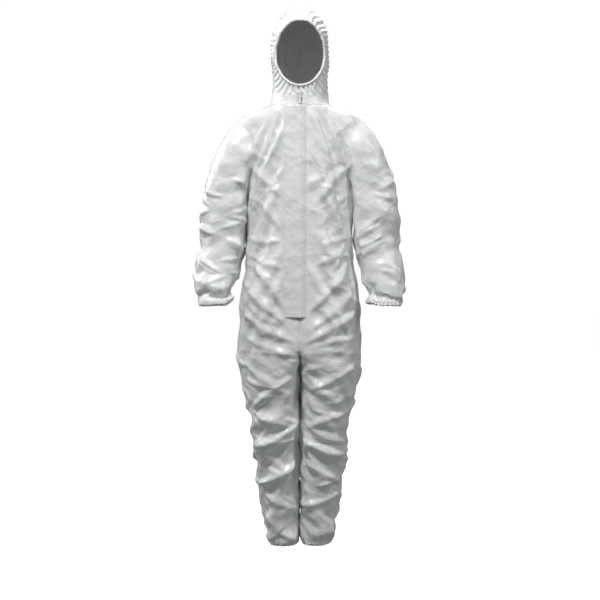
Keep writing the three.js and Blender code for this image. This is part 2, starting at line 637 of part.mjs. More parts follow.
function addTorso() {
  const elasticTop = WAIST - 8;
  for (const [name, side] of Object.entries(SIDES)) add(suit, `front_panel_${name}`, frontPanel(side), laminate);
  add(suit, "back_panel", backPanel(WAIST + SEAM / 2, NECK_SEAM - SEAM / 2), laminate);
  add(suit, "seat_panel", backPanel(INSEAM + SEAM / 2, WAIST - SEAM / 2), laminate);
  const waistBand = backLining(elasticTop - WAIST_ELASTIC_WIDTH, elasticTop, 1, WAIST_ELASTIC_THICKNESS);
  add(suit, "waist_elastic", waistBand, elastic);
  add(suit, "care_label", careLabel(), label);
}

function addLimb(names, table, bend, side, sideName) {
  const [upper, lower, hem] = names;
  const cut = table[bend].at;
  const end = table[table.length - 2].at;
  const upperRows = between(table, 0, cut - SEAM / 2);
  const lowerRows = between(table, cut + SEAM / 2, end);
  for (const [halfName, half] of Object.entries(HALVES)) {
    add(suit, `${upper}_${halfName}_${sideName}`, limbPanel(upperRows, side, half), laminate);
    add(suit, `${lower}_${halfName}_${sideName}`, limbPanel(lowerRows, side, half), laminate);
  }
  add(suit, `${hem}_${sideName}`, limbBand(between(table, end + SEAM, table.at(-1).at), side), elastic);
}

function addHood() {
  for (const [name, side] of Object.entries(SIDES)) {
    add(suit, `neck_panel_${name}`, neckPanel(side), laminate);
    add(suit, `hood_panel_${name}`, hoodPanel(side), laminate);
  }
  add(suit, "face_elastic", faceElastic(), elastic);
}

function addZip() {
  const zip = new THREE.Group();
  zip.position.set(0, -frontDepth(ZIP_BOTTOM), ZIP_BOTTOM);
  zip.rotation.x = -LEAN;
  suit.add(zip);
  for (const [name, side] of Object.entries(SIDES)) {
    const [a, b] = [side * COIL_INNER, side * (COIL_EDGE + 2)].sort((p, q) => p - q);
    add(zip, `zip_tape_${name}`, zipTape(side), tape);
    add(zip, `zip_coil_${name}`, zipCoil(side), nylon);
    add(zip, `zip_top_stop_${name}`, zipStop(a, b, ZIP_LENGTH + TOUCH), nylon);
  }
  add(zip, "zip_bottom_stop", zipStop(-COIL_EDGE - 1, COIL_EDGE + 1, -STOP_LENGTH - TOUCH), nylon);
  add(zip, "zip_slider", zipSlider(), nylon);
  add(zip, "zip_pull", zipPull(), nylon);
  add(zip, "storm_flap", stormFlap(), lining);
  add(zip, "flap_adhesive", adhesiveStrip(), adhesive);
}

addTorso();
addHood();
addZip();
for (const [name, side] of Object.entries(SIDES)) {
  addLimb(["upper_sleeve", "lower_sleeve", "cuff_elastic"], sleeveTable(), ELBOW_ROW, side, name);
  addLimb(["thigh", "shin", "ankle_elastic"], legTable(), KNEE_ROW, side, name);
}

export default suit;
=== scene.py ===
import math
import random

import bmesh
import bpy
import numpy as np
from mathutils import Matrix, Vector, noise


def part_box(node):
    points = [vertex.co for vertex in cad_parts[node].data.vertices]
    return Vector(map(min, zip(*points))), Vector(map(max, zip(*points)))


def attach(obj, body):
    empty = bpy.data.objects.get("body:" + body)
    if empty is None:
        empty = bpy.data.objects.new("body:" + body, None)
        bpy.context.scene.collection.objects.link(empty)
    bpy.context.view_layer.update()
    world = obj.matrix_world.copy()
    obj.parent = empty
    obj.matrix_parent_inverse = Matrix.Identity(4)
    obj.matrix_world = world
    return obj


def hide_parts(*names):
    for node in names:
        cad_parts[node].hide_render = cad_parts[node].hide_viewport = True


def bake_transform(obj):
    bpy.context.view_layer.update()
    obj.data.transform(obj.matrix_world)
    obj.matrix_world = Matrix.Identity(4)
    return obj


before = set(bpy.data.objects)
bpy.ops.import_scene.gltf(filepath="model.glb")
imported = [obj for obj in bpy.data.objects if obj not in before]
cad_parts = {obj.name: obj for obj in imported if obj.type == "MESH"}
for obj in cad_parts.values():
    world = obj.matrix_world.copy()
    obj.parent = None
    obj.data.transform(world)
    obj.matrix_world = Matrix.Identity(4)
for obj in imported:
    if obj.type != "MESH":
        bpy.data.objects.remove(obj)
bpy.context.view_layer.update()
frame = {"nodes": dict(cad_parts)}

# Heights in the tables are in millimetres above the ankle hems, and the wearer's shoulders are the origin.
SHOULDER = 1283.0
ARMPIT = 1110.0
NECK_SEAM = 1311.0
FOLD = 1343.0
FOLD_TILT = 0.1
INSEAM = 600.0
LEG_RISE = 100.0 / 188.0
WAIST = 870.0
ELBOW = 905.0
KNEE = 345.0
FACE_CENTRE, FACE_HALF_HEIGHT, FACE_HALF_WIDTH = 1467.0, 98.0, 74.0
BELLY_DEPTH, ZIP_LEAN = 132.0, 0.0464
ZIP_BOTTOM = 690.0


def front_depth(z):
    return BELLY_DEPTH - ZIP_LEAN * (z - INSEAM)


# ---------------------------------------------------------------- mesh helpers

def metres(points):
    points = np.asarray(points, float).copy()
    points[..., 2] -= SHOULDER
    return points * 0.001


def new_object(name, verts, faces, smooth=True):
    mesh = bpy.data.meshes.new(name)
    mesh.from_pydata([tuple(v) for v in verts], [], [tuple(f) for f in faces])
    mesh.validate()
    if smooth:
        mesh.shade_smooth()
    obj = bpy.data.objects.new(name, mesh)
    bpy.context.collection.objects.link(obj)
    return obj


def coords(obj):
    co = np.empty(len(obj.data.vertices) * 3)
    obj.data.vertices.foreach_get("co", co)
    return co.reshape(-1, 3)


def set_coords(obj, co):
    obj.data.vertices.foreach_set("co", np.asarray(co, float).ravel())
    obj.data.update()


def evaluated(obj, name=None):
    """The object's mesh with its modifiers applied, in place of the old one."""
    graph = bpy.context.evaluated_depsgraph_get()
    mesh = bpy.data.meshes.new_from_object(obj.evaluated_get(graph), preserve_all_data_layers=True, depsgraph=graph)
    obj.modifiers.clear()
    old = obj.data
    obj.data = mesh
    if not old.users:
        bpy.data.meshes.remove(old)
    if name:
        mesh.name = name
    return obj


def delete(*objects):
    for obj in objects:
        bpy.data.objects.remove(obj, do_unlink=True)


def smooth_step(x, low, high):
    t = np.clip((np.asarray(x, float) - low) / (high - low), 0, 1)
    return t * t * (3 - 2 * t)


# ---------------------------------------------------------------- the suit's form

# height, half-width, depth to the back, climb of the ring from the centre to the side
TORSO = [
    (600, 188, 148, 0.532), (674, 188, 148, 0.319), (686, 187, 148, 0.298), (760, 182, 146, 0.133),
    (829, 171, 139, 0), (870, 165, 120, 0), (911, 164, 118, 0), (1003, 164, 124, 0), (1110, 166, 130, 0),
    (1148, 169, 130, 0), (1197, 175, 127, 0), (1245, 180.5, 118, 0), (1283, 185, 100, 0), (1300, 133, 88, 0),
    (1311, 90, 80, 0),
]
# inner x and z, outer x and z, front, back
SLEEVE = [
    (165.4, 1110, 185.4, 1283, -70, 70), (168, 1098, 226, 1243, -72, 75), (169, 1080, 259, 1178, -72, 78),
    (170, 1053, 286, 1106, -70, 80), (171.5, 1010, 301, 1034, -68, 80), (172, 960, 306, 975, -66, 80),
    (176, 905, 300, 905, -64, 82), (188, 868, 319, 862, -72, 78), (198, 820, 318, 812, -85, 55),
    (209, 775, 309, 768, -98, 22), (206, 738, 296, 732, -102, -4), (206, 724, 294, 718, -103, -6),
]
# inner x and z, outer x and z, front, back, squareness of the inner side
LEG = [
    (1.5, 600, 188, 700, -132, 148, 1), (1.5, 561, 191, 585, -122, 140, 0.75), (1.5, 501, 179, 501, -110, 120, 0.4),
    (2, 432, 160, 432, -100, 95, 0.15), (2.5, 376, 152, 376, -95, 80, 0), (3, 345, 148, 345, -92, 72, 0),
    (3, 300, 146, 300, -85, 78, 0), (3, 235, 134, 235, -72, 85, 0), (3, 159, 127, 159, -62, 85, 0),
    (4, 90, 117, 90, -58, 78, 0), (4, 41, 102, 41, -55, 68, 0), (5, 14, 92, 14, -48, 60, 0),
    (6, 0, 88, 0, -46, 57, 0),
]
# height, half-width, front, back, tilt
HOOD = [
    (1311, 90, 99, 80, 0), (1343, 85.6, 97.5, 77.6, 0.1), (1364, 84.2, 98, 80, 0.04), (1371, 84.6, 99, 82.6, 0),
    (1392, 85.6, 100, 92, 0), (1425, 89.2, 100, 102.7, 0), (1467, 92, 100, 113.3, 0), (1509, 90.6, 98, 118, 0),
    (1541, 84.6, 93.1, 118, 0), (1556, 77.3, 88.2, 114.5, 0), (1571, 72.7, 83.3, 112, 0), (1590, 61.6, 70.6, 99, 0),
    (1605, 46.9, 53.9, 77.9, 0), (1618, 26.7, 31.4, 44.8, 0), (1624, 4.6, 4.9, 7, 0),
]
# x of the line between body and sleeve against height, down the armhole and then the gap beside the body
SIDE_LINE = np.array([(712, 196), (775, 195), (829, 184), (868, 176.5), (905, 170), (960, 168), (1110, 167.6),
                      (1150, 169.8), (1283, 185.2)])
AROUND = 64


def refine(table, steps):
    """The table with `steps` rows for each of its own, on a smooth curve through them."""
    table = np.array(table, float)
    rows = [table[0]]
    for i in range(len(table) - 1):
        a, b = table[max(i - 1, 0)], table[min(i + 2, len(table) - 1)]
        p, q = table[i], table[i + 1]
        for t in np.arange(1, steps + 1) / steps:
            bend = 0.5 * ((q - a) * t * (1 - t) ** 2 - (b - p) * t * t * (1 - t))
            rows.append(p + (q - p) * (3 * t * t - 2 * t ** 3) + bend)
    return np.array(rows)


def torso_ring(row, inset=0.0):
    z, half, back, climb = row
    half, back, front = half - inset, back - inset, front_depth(z) - inset
    turn = np.linspace(0, 2 * np.pi, AROUND, endpoint=False)
    s, c = np.sin(turn), np.cos(turn)
    flat = 22.0
    x = np.where(c > 0, np.sign(s) * flat * np.minimum(1, np.abs(s) * 6) + (half - flat) * s, half * s)
    y = np.where(c > 0, -front * c, -back * c)
    return np.stack([x, y, z + climb * np.abs(x)], -1)


def limb_ring(row, side, inset=0.0):
    ix, iz, ox, oz, front, back = row[:6]
    corner = row[6] if len(row) > 6 else 0.0
    turn = np.linspace(0, 2 * np.pi, AROUND, endpoint=False)
    share, across = (1 - np.cos(turn)) / 2, np.sin(turn)
    t = np.where(turn <= np.pi, turn, 2 * np.pi - turn) / np.pi
    bend = np.maximum(0, (t - 0.25) / 0.75) * np.pi / 2
    square, reach = np.sin(bend), np.where(t < 0.25, t / 0.25, np.cos(bend)) * np.sign(across)
    share = share + (square - share) * corner
    across = across + (reach - across) * corner
    width = math.hypot(ox - ix, oz - iz)
    share = 0.5 + (share - 0.5) * (1 - 2 * inset / width)
    y = (front + back) / 2 + across * ((back - front) / 2 - inset)
    return np.stack([side * (ix + (ox - ix) * share), y, iz + (oz - iz) * share], -1)


def hood_ring(row, inset=0.0):
    z, half, front, back, tilt = row
    turn = np.linspace(0, 2 * np.pi, AROUND, endpoint=False)
    s, c = np.sin(turn), np.cos(turn)
    y = np.where(c > 0, -(front - min(inset, 0.6 * front)) * c, -(back - min(inset, 0.6 * back)) * c)
    return np.stack([(half - min(inset, 0.6 * half)) * s, y, z - tilt * y], -1)


def solid(name, rings):
    """A closed tube through the rings, with a fan over each end."""
    rings = metres(rings)
    count, around = rings.shape[:2]
    verts = list(rings.reshape(-1, 3)) + [rings[0].mean(0), rings[-1].mean(0)]
    faces = []
    for j in range(around):
        k = (j + 1) % around
        for i in range(count - 1):
            a, b = i * around, (i + 1) * around
            faces.append((a + j, a + k, b + k, b + j))
        faces.append((j, count * around, k))
        faces.append(((count - 1) * around + k, count * around + 1, (count - 1) * around + j))
    obj = new_object(name, verts, faces)
    bm = bmesh.new()
    bm.from_mesh(obj.data)
    bmesh.ops.recalc_face_normals(bm, faces=bm.faces)
    bm.to_mesh(obj.data)
    bm.free()
    return obj


ARM_SPREAD, LEG_SPREAD = 13.0, 8.0  # room made between neighbours while the skin is one voxel mesh


def spread(table, amount, at):
    rows = np.array(table, float)
    rows[:, 0] += amount * smooth_step(-rows[:, 1], -at, -at + 40)
    return rows


def form(inset, voxel):
    """The whole suit as one closed skin, `inset` millimetres inside its shells."""
    parts = []
    torso = refine(TORSO, 4)
    parts.append(solid("form_torso", [torso_ring(r, inset) for r in torso]))
    hood = refine(HOOD, 4)
    under = np.array(HOOD[0], float)
    rings = [hood_ring(under + np.array([-30, -3, -3, -3, 0]), inset)] + [hood_ring(r, inset) for r in hood]
    rings[-1][:, 2] -= inset
    parts.append(solid("form_hood", rings))
    for side in (1, -1):
        sleeve = refine(spread(SLEEVE, ARM_SPREAD, 1100), 4)
        root = sleeve[0].copy()
        root[[0, 2]] -= 24
        rings = [limb_ring(root, side, inset + 5)] + [limb_ring(r, side, inset) for r in sleeve]
        parts.append(solid("form_sleeve", rings))
        leg = refine(spread(LEG, LEG_SPREAD, 600), 4)
        root = leg[0].copy()
        root[[1, 3]] += 30
        rings = [limb_ring(root, side, inset + 6)] + [limb_ring(r, side, inset) for r in leg]
        parts.append(solid("form_leg", rings))
    first = parts[0]
    with bpy.context.temp_override(active_object=first, object=first, selected_editable_objects=parts,
                                   selected_objects=parts):
        bpy.ops.object.join()
    remesh = first.modifiers.new("remesh", "REMESH")
    remesh.mode = "VOXEL"
    remesh.voxel_size = voxel
    remesh.adaptivity = 0
    relax = first.modifiers.new("relax", "SMOOTH")
    relax.factor = 0.5
    relax.iterations = 5
    return evaluated(first)


def close_up(co):
    """Takes the spread back out of a skin's points, so that arms and legs lie where they should."""
    x, z = co[:, 0] * 1000, co[:, 2] * 1000 + SHOULDER
    side, x = np.sign(x), np.abs(x)
    beside = np.where(z > SIDE_LINE[0, 0] - 12, np.interp(z, SIDE_LINE[:, 0], SIDE_LINE[:, 1]) + ARM_SPREAD / 2, 1000)
    for table, amount, at, nearest in ((SLEEVE, ARM_SPREAD, 1100, beside), (LEG, LEG_SPREAD, 600, 0)):
        rows = refine(table, 4)
        order = np.argsort((rows[:, 1] + rows[:, 3]) / 2)
        height = ((rows[:, 1] + rows[:, 3]) / 2)[order]
        inner, outer = np.interp(z, height, rows[order, 0]), np.interp(z, height, rows[order, 2])
        shift = amount * smooth_step(-z, -at, -at + 40)
        limb = (x > nearest) & (z < at)
        squeezed = outer - (outer - x) * (outer - inner) / (outer - inner - shift)
        x = np.where(limb & (x < outer), squeezed, x)
    out = co.copy()
    out[:, 0] = side * x / 1000
    return out


# ---------------------------------------------------------------- the fabric, draped by a cloth simulation

def face_radius(co):
    """1 on the rim of the face opening, less inside it."""
    x = co[:, 0] * 1000 / FACE_HALF_WIDTH
    z = (co[:, 2] * 1000 + SHOULDER - FACE_CENTRE) / FACE_HALF_HEIGHT
    return np.hypot(x, z)


CUFF_A, CUFF_B = np.array([206.0, 724.0]), np.array([294.0, 718.0])


def below_cuff(co):
    """How far a point is above the end of its sleeve, in metres, negative past it."""
    x, z = np.abs(co[:, 0]) * 1000, co[:, 2] * 1000 + SHOULDER
    along = (CUFF_B - CUFF_A) / np.linalg.norm(CUFF_B - CUFF_A)
    return ((x - CUFF_A[0]) * -along[1] + (z - CUFF_A[1]) * along[0]) * 0.001


def with_corners(faces):
    """The faces with their edges and points, always in the same order."""
    edges = dict.fromkeys(e for f in faces for e in f.edges)
    return [*dict.fromkeys(v for f in faces for v in f.verts), *edges, *faces]


def open_ends(skin):
    """Cuts the face opening and the ends of the sleeves and legs, with clean edges."""
    bm = bmesh.new()
    bm.from_mesh(skin.data)
    ankle = -SHOULDER / 1000 + 0.006
    for side in (1, -1):
        normal = Vector((side * (CUFF_B - CUFF_A)[1], 0, -(CUFF_B - CUFF_A)[0])).normalized()
        point = Vector(metres([side * CUFF_A[0], 0, CUFF_A[1] + 5]))
        near = [f for f in bm.faces if side * f.calc_center_median().x > 0.2 and f.calc_center_median().z < -0.5]
        bmesh.ops.bisect_plane(bm, geom=with_corners(near), dist=1e-5, plane_co=point, plane_no=normal, clear_outer=True)
    bmesh.ops.bisect_plane(bm, geom=bm.verts[:] + bm.edges[:] + bm.faces[:], dist=1e-5,
                           plane_co=(0, 0, ankle), plane_no=(0, 0, -1), clear_outer=True)
    middle = np.array([f.calc_center_median() for f in bm.faces])
    gone = (face_radius(middle) < 1) & (middle[:, 1] < -0.02) & (middle[:, 2] > 0.05)
    bmesh.ops.delete(bm, geom=[f for f, cut in zip(bm.faces[:], gone) if cut], context="FACES")
    for v in bm.verts:
        if v.is_boundary and v.co.z > 0.05:
            radius = face_radius(np.array([v.co]))[0]
            v.co.x /= radius
            v.co.z = metres([0, 0, FACE_CENTRE])[2] + (v.co.z - metres([0, 0, FACE_CENTRE])[2]) / radius
    bm.to_mesh(skin.data)
    bm.free()


# the raglan seam: x against height, from the armpit up to the neck
RAGLAN = np.array([(1085, 167.6), (1110, 167.6), (1150, 170.5), (1185, 158), (1225, 136), (1270, 106), (1311, 80)])
# y of the seams down the sides: over and under the arm, down the side of the body and both sides of the leg
ARM_SEAM = np.array([(718, -54.5), (732, -53), (772, -38), (816, -15), (865, 3), (905, 9), (965, 7), (1080, 3), (1200, 0)])
SIDE_SEAM = np.array([(0, 5.5), (41, 6.5), (90, 10), (159, 11.5), (235, 6.5), (300, -3.5), (345, -10), (376, -7.5),
                      (432, -2.5), (501, 5), (561, 9), (600, 8), (700, 0)])
ZIP_EDGE = 7.0
SLEEVE_JOIN, LEG_JOIN = 965.0, 400.0


def height(co):
    return co[:, 2] * 1000 + SHOULDER


def in_sleeve(co):
    """True on the sleeves, which start at the raglan seam."""
    x, z = np.abs(co[:, 0]) * 1000, height(co)
    low = (z > SIDE_LINE[0, 0]) & (z <= 1100) & (x > np.interp(z, SIDE_LINE[:, 0], SIDE_LINE[:, 1]))
    return low | ((z > 1100) & (z < NECK_SEAM) & (x > np.interp(z, RAGLAN[:, 0], RAGLAN[:, 1])))


def cut(bm, axis, line, where):
    """Adds the edges of a seam where the coordinate `axis` equals `line` of the point, on the faces of `where`."""
    middles = np.array([f.calc_center_median() for f in bm.faces])
    chosen = where(middles)
    faces = [f for f, use in zip(bm.faces[:], chosen) if use]
    if not faces:
        return
    bm.verts.ensure_lookup_table()
    for v in bm.verts:
        v.co[axis] -= line(v.co)
    normal = [0, 0, 0]
    normal[axis] = 1
    bmesh.ops.bisect_plane(bm, geom=with_corners(faces), dist=0.0022, plane_co=(0, 0, 0), plane_no=normal,
                           use_snap_center=True)
    for v in bm.verts:
        v.co[axis] += line(v.co)


def at_height(table, side=1):
    """A seam's line: the table's value at a point's height, in metres."""
    return lambda p: side * 0.001 * float(np.interp(p[2] * 1000 + SHOULDER, table[:, 0], table[:, 1]))


def level(z):
    return lambda p: (z - SHOULDER) * 0.001


def cut_seams(skin):
    bm = bmesh.new()
    bm.from_mesh(skin.data)
    for side in (1, -1):
        cut(bm, 0, at_height(RAGLAN, side),
            lambda m: (height(m) > 1088) & (height(m) < 1322) & (side * m[:, 0] > 0.06))
        cut(bm, 0, lambda p: side * ZIP_EDGE * 0.001,
            lambda m: (m[:, 1] < 0) & (height(m) > 676) & (height(m) < 1360) & (side * m[:, 0] > -0.02))
    cut(bm, 0, lambda p: 0.0, lambda m: np.abs(m[:, 0]) < 0.03)
    cut(bm, 2, level(NECK_SEAM), lambda m: (np.abs(m[:, 0]) < 0.13) & (height(m) > 1280))
    cut(bm, 2, level(WAIST), lambda m: ~in_sleeve(m) & (m[:, 1] > -0.02) & (height(m) > 840) & (height(m) < 900))
    cut(bm, 2, level(ZIP_BOTTOM - 4), lambda m: (np.abs(m[:, 0]) < 0.02) & (m[:, 1] < 0) & (height(m) < 720))
    cut(bm, 2, level(1350), lambda m: (np.abs(m[:, 0]) < 0.02) & (m[:, 1] < 0) & (height(m) > 1330))
    cut(bm, 2, level(SLEEVE_JOIN), in_sleeve)
    cut(bm, 2, level(LEG_JOIN), lambda m: height(m) < 430)
    cut(bm, 1, at_height(ARM_SEAM), in_sleeve)
    cut(bm, 1, at_height(SIDE_SEAM), lambda m: ~in_sleeve(m) & (height(m) < NECK_SEAM))
    middles = np.array([f.calc_center_median() for f in bm.faces])
    zip_gap = (np.abs(middles[:, 0]) * 1000 < ZIP_EDGE) & (middles[:, 1] < 0)
    zip_gap &= (height(middles) > ZIP_BOTTOM - 4) & (height(middles) < 1350)
    bmesh.ops.delete(bm, geom=[f for f, gone in zip(bm.faces[:], zip_gap) if gone], context="FACES")
    bm.to_mesh(skin.data)
    bm.free()


PANELS = ("front", "back", "seat", "hood", "sleeve_upper_front", "sleeve_upper_back", "sleeve_lower_front",
          "sleeve_lower_back", "leg_lower_front", "leg_lower_back")
# panels that are one piece of cloth with the panel above them
RUNS_ON = {"sleeve_lower_front": "sleeve_upper_front", "sleeve_lower_back": "sleeve_upper_back",
           "leg_lower_front": "front", "leg_lower_back": "seat"}


def panel_of(middles):
    """Each face's panel, as its place in PANELS, plus half the list's length doubled on the wearer's right."""
    z, y = height(middles), middles[:, 1] * 1000
    sleeve = in_sleeve(middles)
    back_half = np.where(sleeve, y > np.interp(z, ARM_SEAM[:, 0], ARM_SEAM[:, 1]),
                         y > np.interp(z, SIDE_SEAM[:, 0], SIDE_SEAM[:, 1]))
    panel = np.where(back_half, np.where(z > WAIST, 1, 2), 0)
    panel = np.where(z > NECK_SEAM, 3, panel)
    panel = np.where(sleeve, np.where(z > SLEEVE_JOIN, 4, 6) + back_half, panel)
    panel = np.where(z < LEG_JOIN, 8 + back_half, panel)
    right = (middles[:, 0] < 0) & (panel != 1)
    return panel + right * len(PANELS)


# ---------------------------------------------------------------- folds and crumples

def facets(points, size, long, lean, seed):
    """Flat-sided dents with sharp ridges, as in crumpled laminate, from 0 to about 1. They are `long` times as long
    as wide, in metres, and they lean by the angle `lean` from the level, up towards the outside on both sides."""
    turn = Matrix.Rotation(math.radians(lean), 3, "Y") @ Matrix.Rotation(0.5, 3, "X")
    offset = Vector((seed * 7.3, seed * 3.1, seed * 5.7))
    out = np.empty(len(points))
    for i, (x, y, z) in enumerate(points):
        q = turn @ Vector((abs(x), y, z))
        q = Vector((q.x / long, q.y, q.z)) / size + offset
        if x < 0:
            q += Vector((3.7, 1.9, 0.6))
        q += 0.28 * noise.noise_vector(q * 0.7)
        out[i] = noise.voronoi(q, distance_metric="MANHATTAN")[0][0]
    return out


def regions(rest):
    """How far each point belongs to the hood, the body, the sleeves and the legs, with soft borders."""
    z = height(rest)
    sleeve = in_sleeve(rest) * smooth_step(-z, -1290, -1150)
    legs = smooth_step(-z, -660, -540) * (1 - sleeve)
    hood = smooth_step(z, 1300, 1380)
    return hood, np.clip(1 - sleeve - legs - hood, 0, 1), sleeve, legs


# how long the dents are for their width, and the two ways that they lean, on hood, body, sleeves and legs
GRAINS = ((2.6, 80, 100), (3.2, 62, -50), (2.8, 24, -18), (2.6, 36, -30))


def crumple(rest, size, strengths, seed):
    """Two crossing sets of facets over the whole suit, about zero, in the unit of `strengths`."""
    out = np.zeros(len(rest))
    for weight, (long, first, second), strength in zip(regions(rest), GRAINS, strengths):
        some = np.flatnonzero(weight > 0.01)
        both = facets(rest[some], size, long, first, seed) + facets(rest[some], size * 0.8, long, second, seed + 4)
        out[some] += weight[some] * strength * (both / 2 - 0.45)
    return out


# folds that pull across the front: x and height of both ends, height and half-width of the fold, in millimetres
PULLED = (
    (150, 862, 28, 700, 6, 22), (168, 790, 30, 655, 7, 24), (172, 716, 24, 628, 6, 22), (150, 640, 22, 590, 5, 20),
    (162, 1150, 52, 1035, 5, 22), (150, 1060, 60, 960, 4, 22), (70, 1290, 150, 1120, 4, 20),
    (26, 1296, 92, 1150, 5, 20), (160, 560, 40, 480, 6, 22), (30, 520, 140, 430, 6, 20), (150, 420, 30, 372, 7, 20),
    (20, 380, 140, 318, 7, 20), (140, 290, 24, 330, 6, 18), (24, 262, 128, 196, 7, 20), (120, 170, 20, 120, 6, 18),
    (160, 935, 60, 905, 4, 18), (155, 880, 50, 842, 5, 20),
)


def tent(along, away, half_length, half_width):
    """A long fold with two flat sides and a sharp crest, which tapers off at both ends, from 0 to 1."""
    t = np.clip(1 - np.abs(along) / half_length, 0, 1)
    return np.clip(1 - np.abs(away) / (half_width * (0.35 + 0.65 * t)), 0, 1) * np.minimum(1, 2.2 * t)


def pulled_folds(rest):
    """Long folds that run from the hips to the crotch, from the neck to the armpits and over the knees, in metres."""
    out = np.zeros(len(rest))
    z = height(rest)
    body = ~in_sleeve(rest) & (rest[:, 1] < 0.02)
    for number, (x0, z0, x1, z1, high, wide) in enumerate(PULLED):
        for side in (1, -1):
            shift = 9 * math.sin(number * 2.3 + side)
            x = rest[:, 0] * 1000 * side
            way = np.array([x1 - x0, z1 - z0 + shift], float)
            length = np.hypot(*way)
            way /= length
            along = (x - x0) * way[0] + (z - z0) * way[1] - length / 2
            bow = 8 * math.sin(number + side) * np.cos(np.clip(along / length, -0.5, 0.5) * np.pi)
            away = (x - x0) * -way[1] + (z - z0) * way[0] - bow
            ridge = high * tent(along, away, 0.62 * length, wide) * (0.8 + 0.2 * math.cos(3 * number + side))
            out = np.maximum(out, body * ridge)
    return 0.001 * out


def unrolled(rest, part):
    """Places on a limb or the body as if it were slit and laid flat: millimetres around it, and its girth."""
    x, y, z = rest[:, 0] * 1000, rest[:, 1] * 1000, height(rest)
    if part == "sleeve":
        radius = 62
        across = np.abs(x) - np.interp(z, (718, 865, 1110, 1283), (250, 250, 228, 180))
        y = y - np.interp(z, ARM_SEAM[:, 0], ARM_SEAM[:, 1])
    elif part == "leg":
        radius = 82
        across = np.abs(x) - np.interp(z, (0, 345, 600), (47, 75, 95))
    else:
        radius, across = 150, x
    return np.arctan2(y, across) * radius, 2 * np.pi * radius


# for each part: how many folds, their heights from and to, lean from and to in degrees, half-length, half-width and
# height from and to, all in millimetres
FOLDS = {
    "sleeve": (74, (735, 1270), (8, 42), (26, 62), (11, 24), (3.0, 6.5)),
    "leg": (110, (30, 640), (12, 55), (30, 80), (12, 28), (3.0, 7.0)),
    "body": (90, (640, 1290), (20, 75), (30, 85), (12, 28), (2.0, 5.0)),
    "hood": (64, (1330, 1615), (58, 88), (24, 55), (7, 15), (2.0, 4.0)),
}


def sharp_folds(rest):
    """Crossing folds with flat sides over the whole suit, where the higher one covers the lower, in metres."""
    hood, body, sleeve, legs = regions(rest)
    weights = {"sleeve": sleeve, "leg": legs, "body": body, "hood": hood}
    z = height(rest)
    total = np.zeros(len(rest))
    for part, (count, heights, leans, lengths, widths, highs) in FOLDS.items():
        chance = random.Random(part)
        where = np.flatnonzero(weights[part] > 0.01)
        around, girth = unrolled(rest[where], part)
        right = rest[where, 0] < 0
        out = np.zeros(len(where))
        for number in range(count):
            low, high = heights
            u0, z0 = chance.uniform(-girth / 2, girth / 2), low + (high - low) * (number + chance.random()) / count
            lean = math.radians(chance.uniform(*leans)) * chance.choice((1, -1))
            half_length, half_width = chance.uniform(*lengths), chance.uniform(*widths)
            tall = chance.uniform(*highs)
            on_right = chance.choice((True, False))
            du = (around - u0 + girth / 2) % girth - girth / 2
            dv = z[where] - z0
            along = du * math.cos(lean) + dv * math.sin(lean)
            bow = 0.1 * half_length * math.sin(number) * np.cos(np.clip(along / half_length, -1, 1) * np.pi / 2)
            away = dv * math.cos(lean) - du * math.sin(lean) + bow
            own = (right == on_right) | (part in ("body", "hood"))
            out = np.maximum(out, own * tall * tent(along, away, half_length, half_width))
        total[where] += weights[part][where] * out
    return 0.001 * total


def flat_front(rest):
    """1 on the flat strip that the zip is sewn into, 0 away from it."""
    x = np.abs(rest[:, 0]) * 1000
    return smooth_step(-x, -66, -15) * smooth_step(height(rest), 590, 700) * (rest[:, 1] < 0) * (height(rest) < 1352)


def edge_points(mesh):
    """1 on the points of open edges."""
    uses = np.zeros(len(mesh.edges), int)
    around = np.empty(len(mesh.loops), int)
    mesh.loops.foreach_get("edge_index", around)
    np.add.at(uses, around, 1)
    ends = np.empty(2 * len(mesh.edges), int)
    mesh.edges.foreach_get("vertices", ends)
    out = np.zeros(len(mesh.vertices))
    out[ends.reshape(-1, 2)[uses == 1].ravel()] = 1
    return out


def normals(mesh):
    out = np.empty(len(mesh.vertices) * 3)
    mesh.vertex_normals.foreach_get("vector", out)
    return out.reshape(-1, 3)


# ---------------------------------------------------------------- the drape

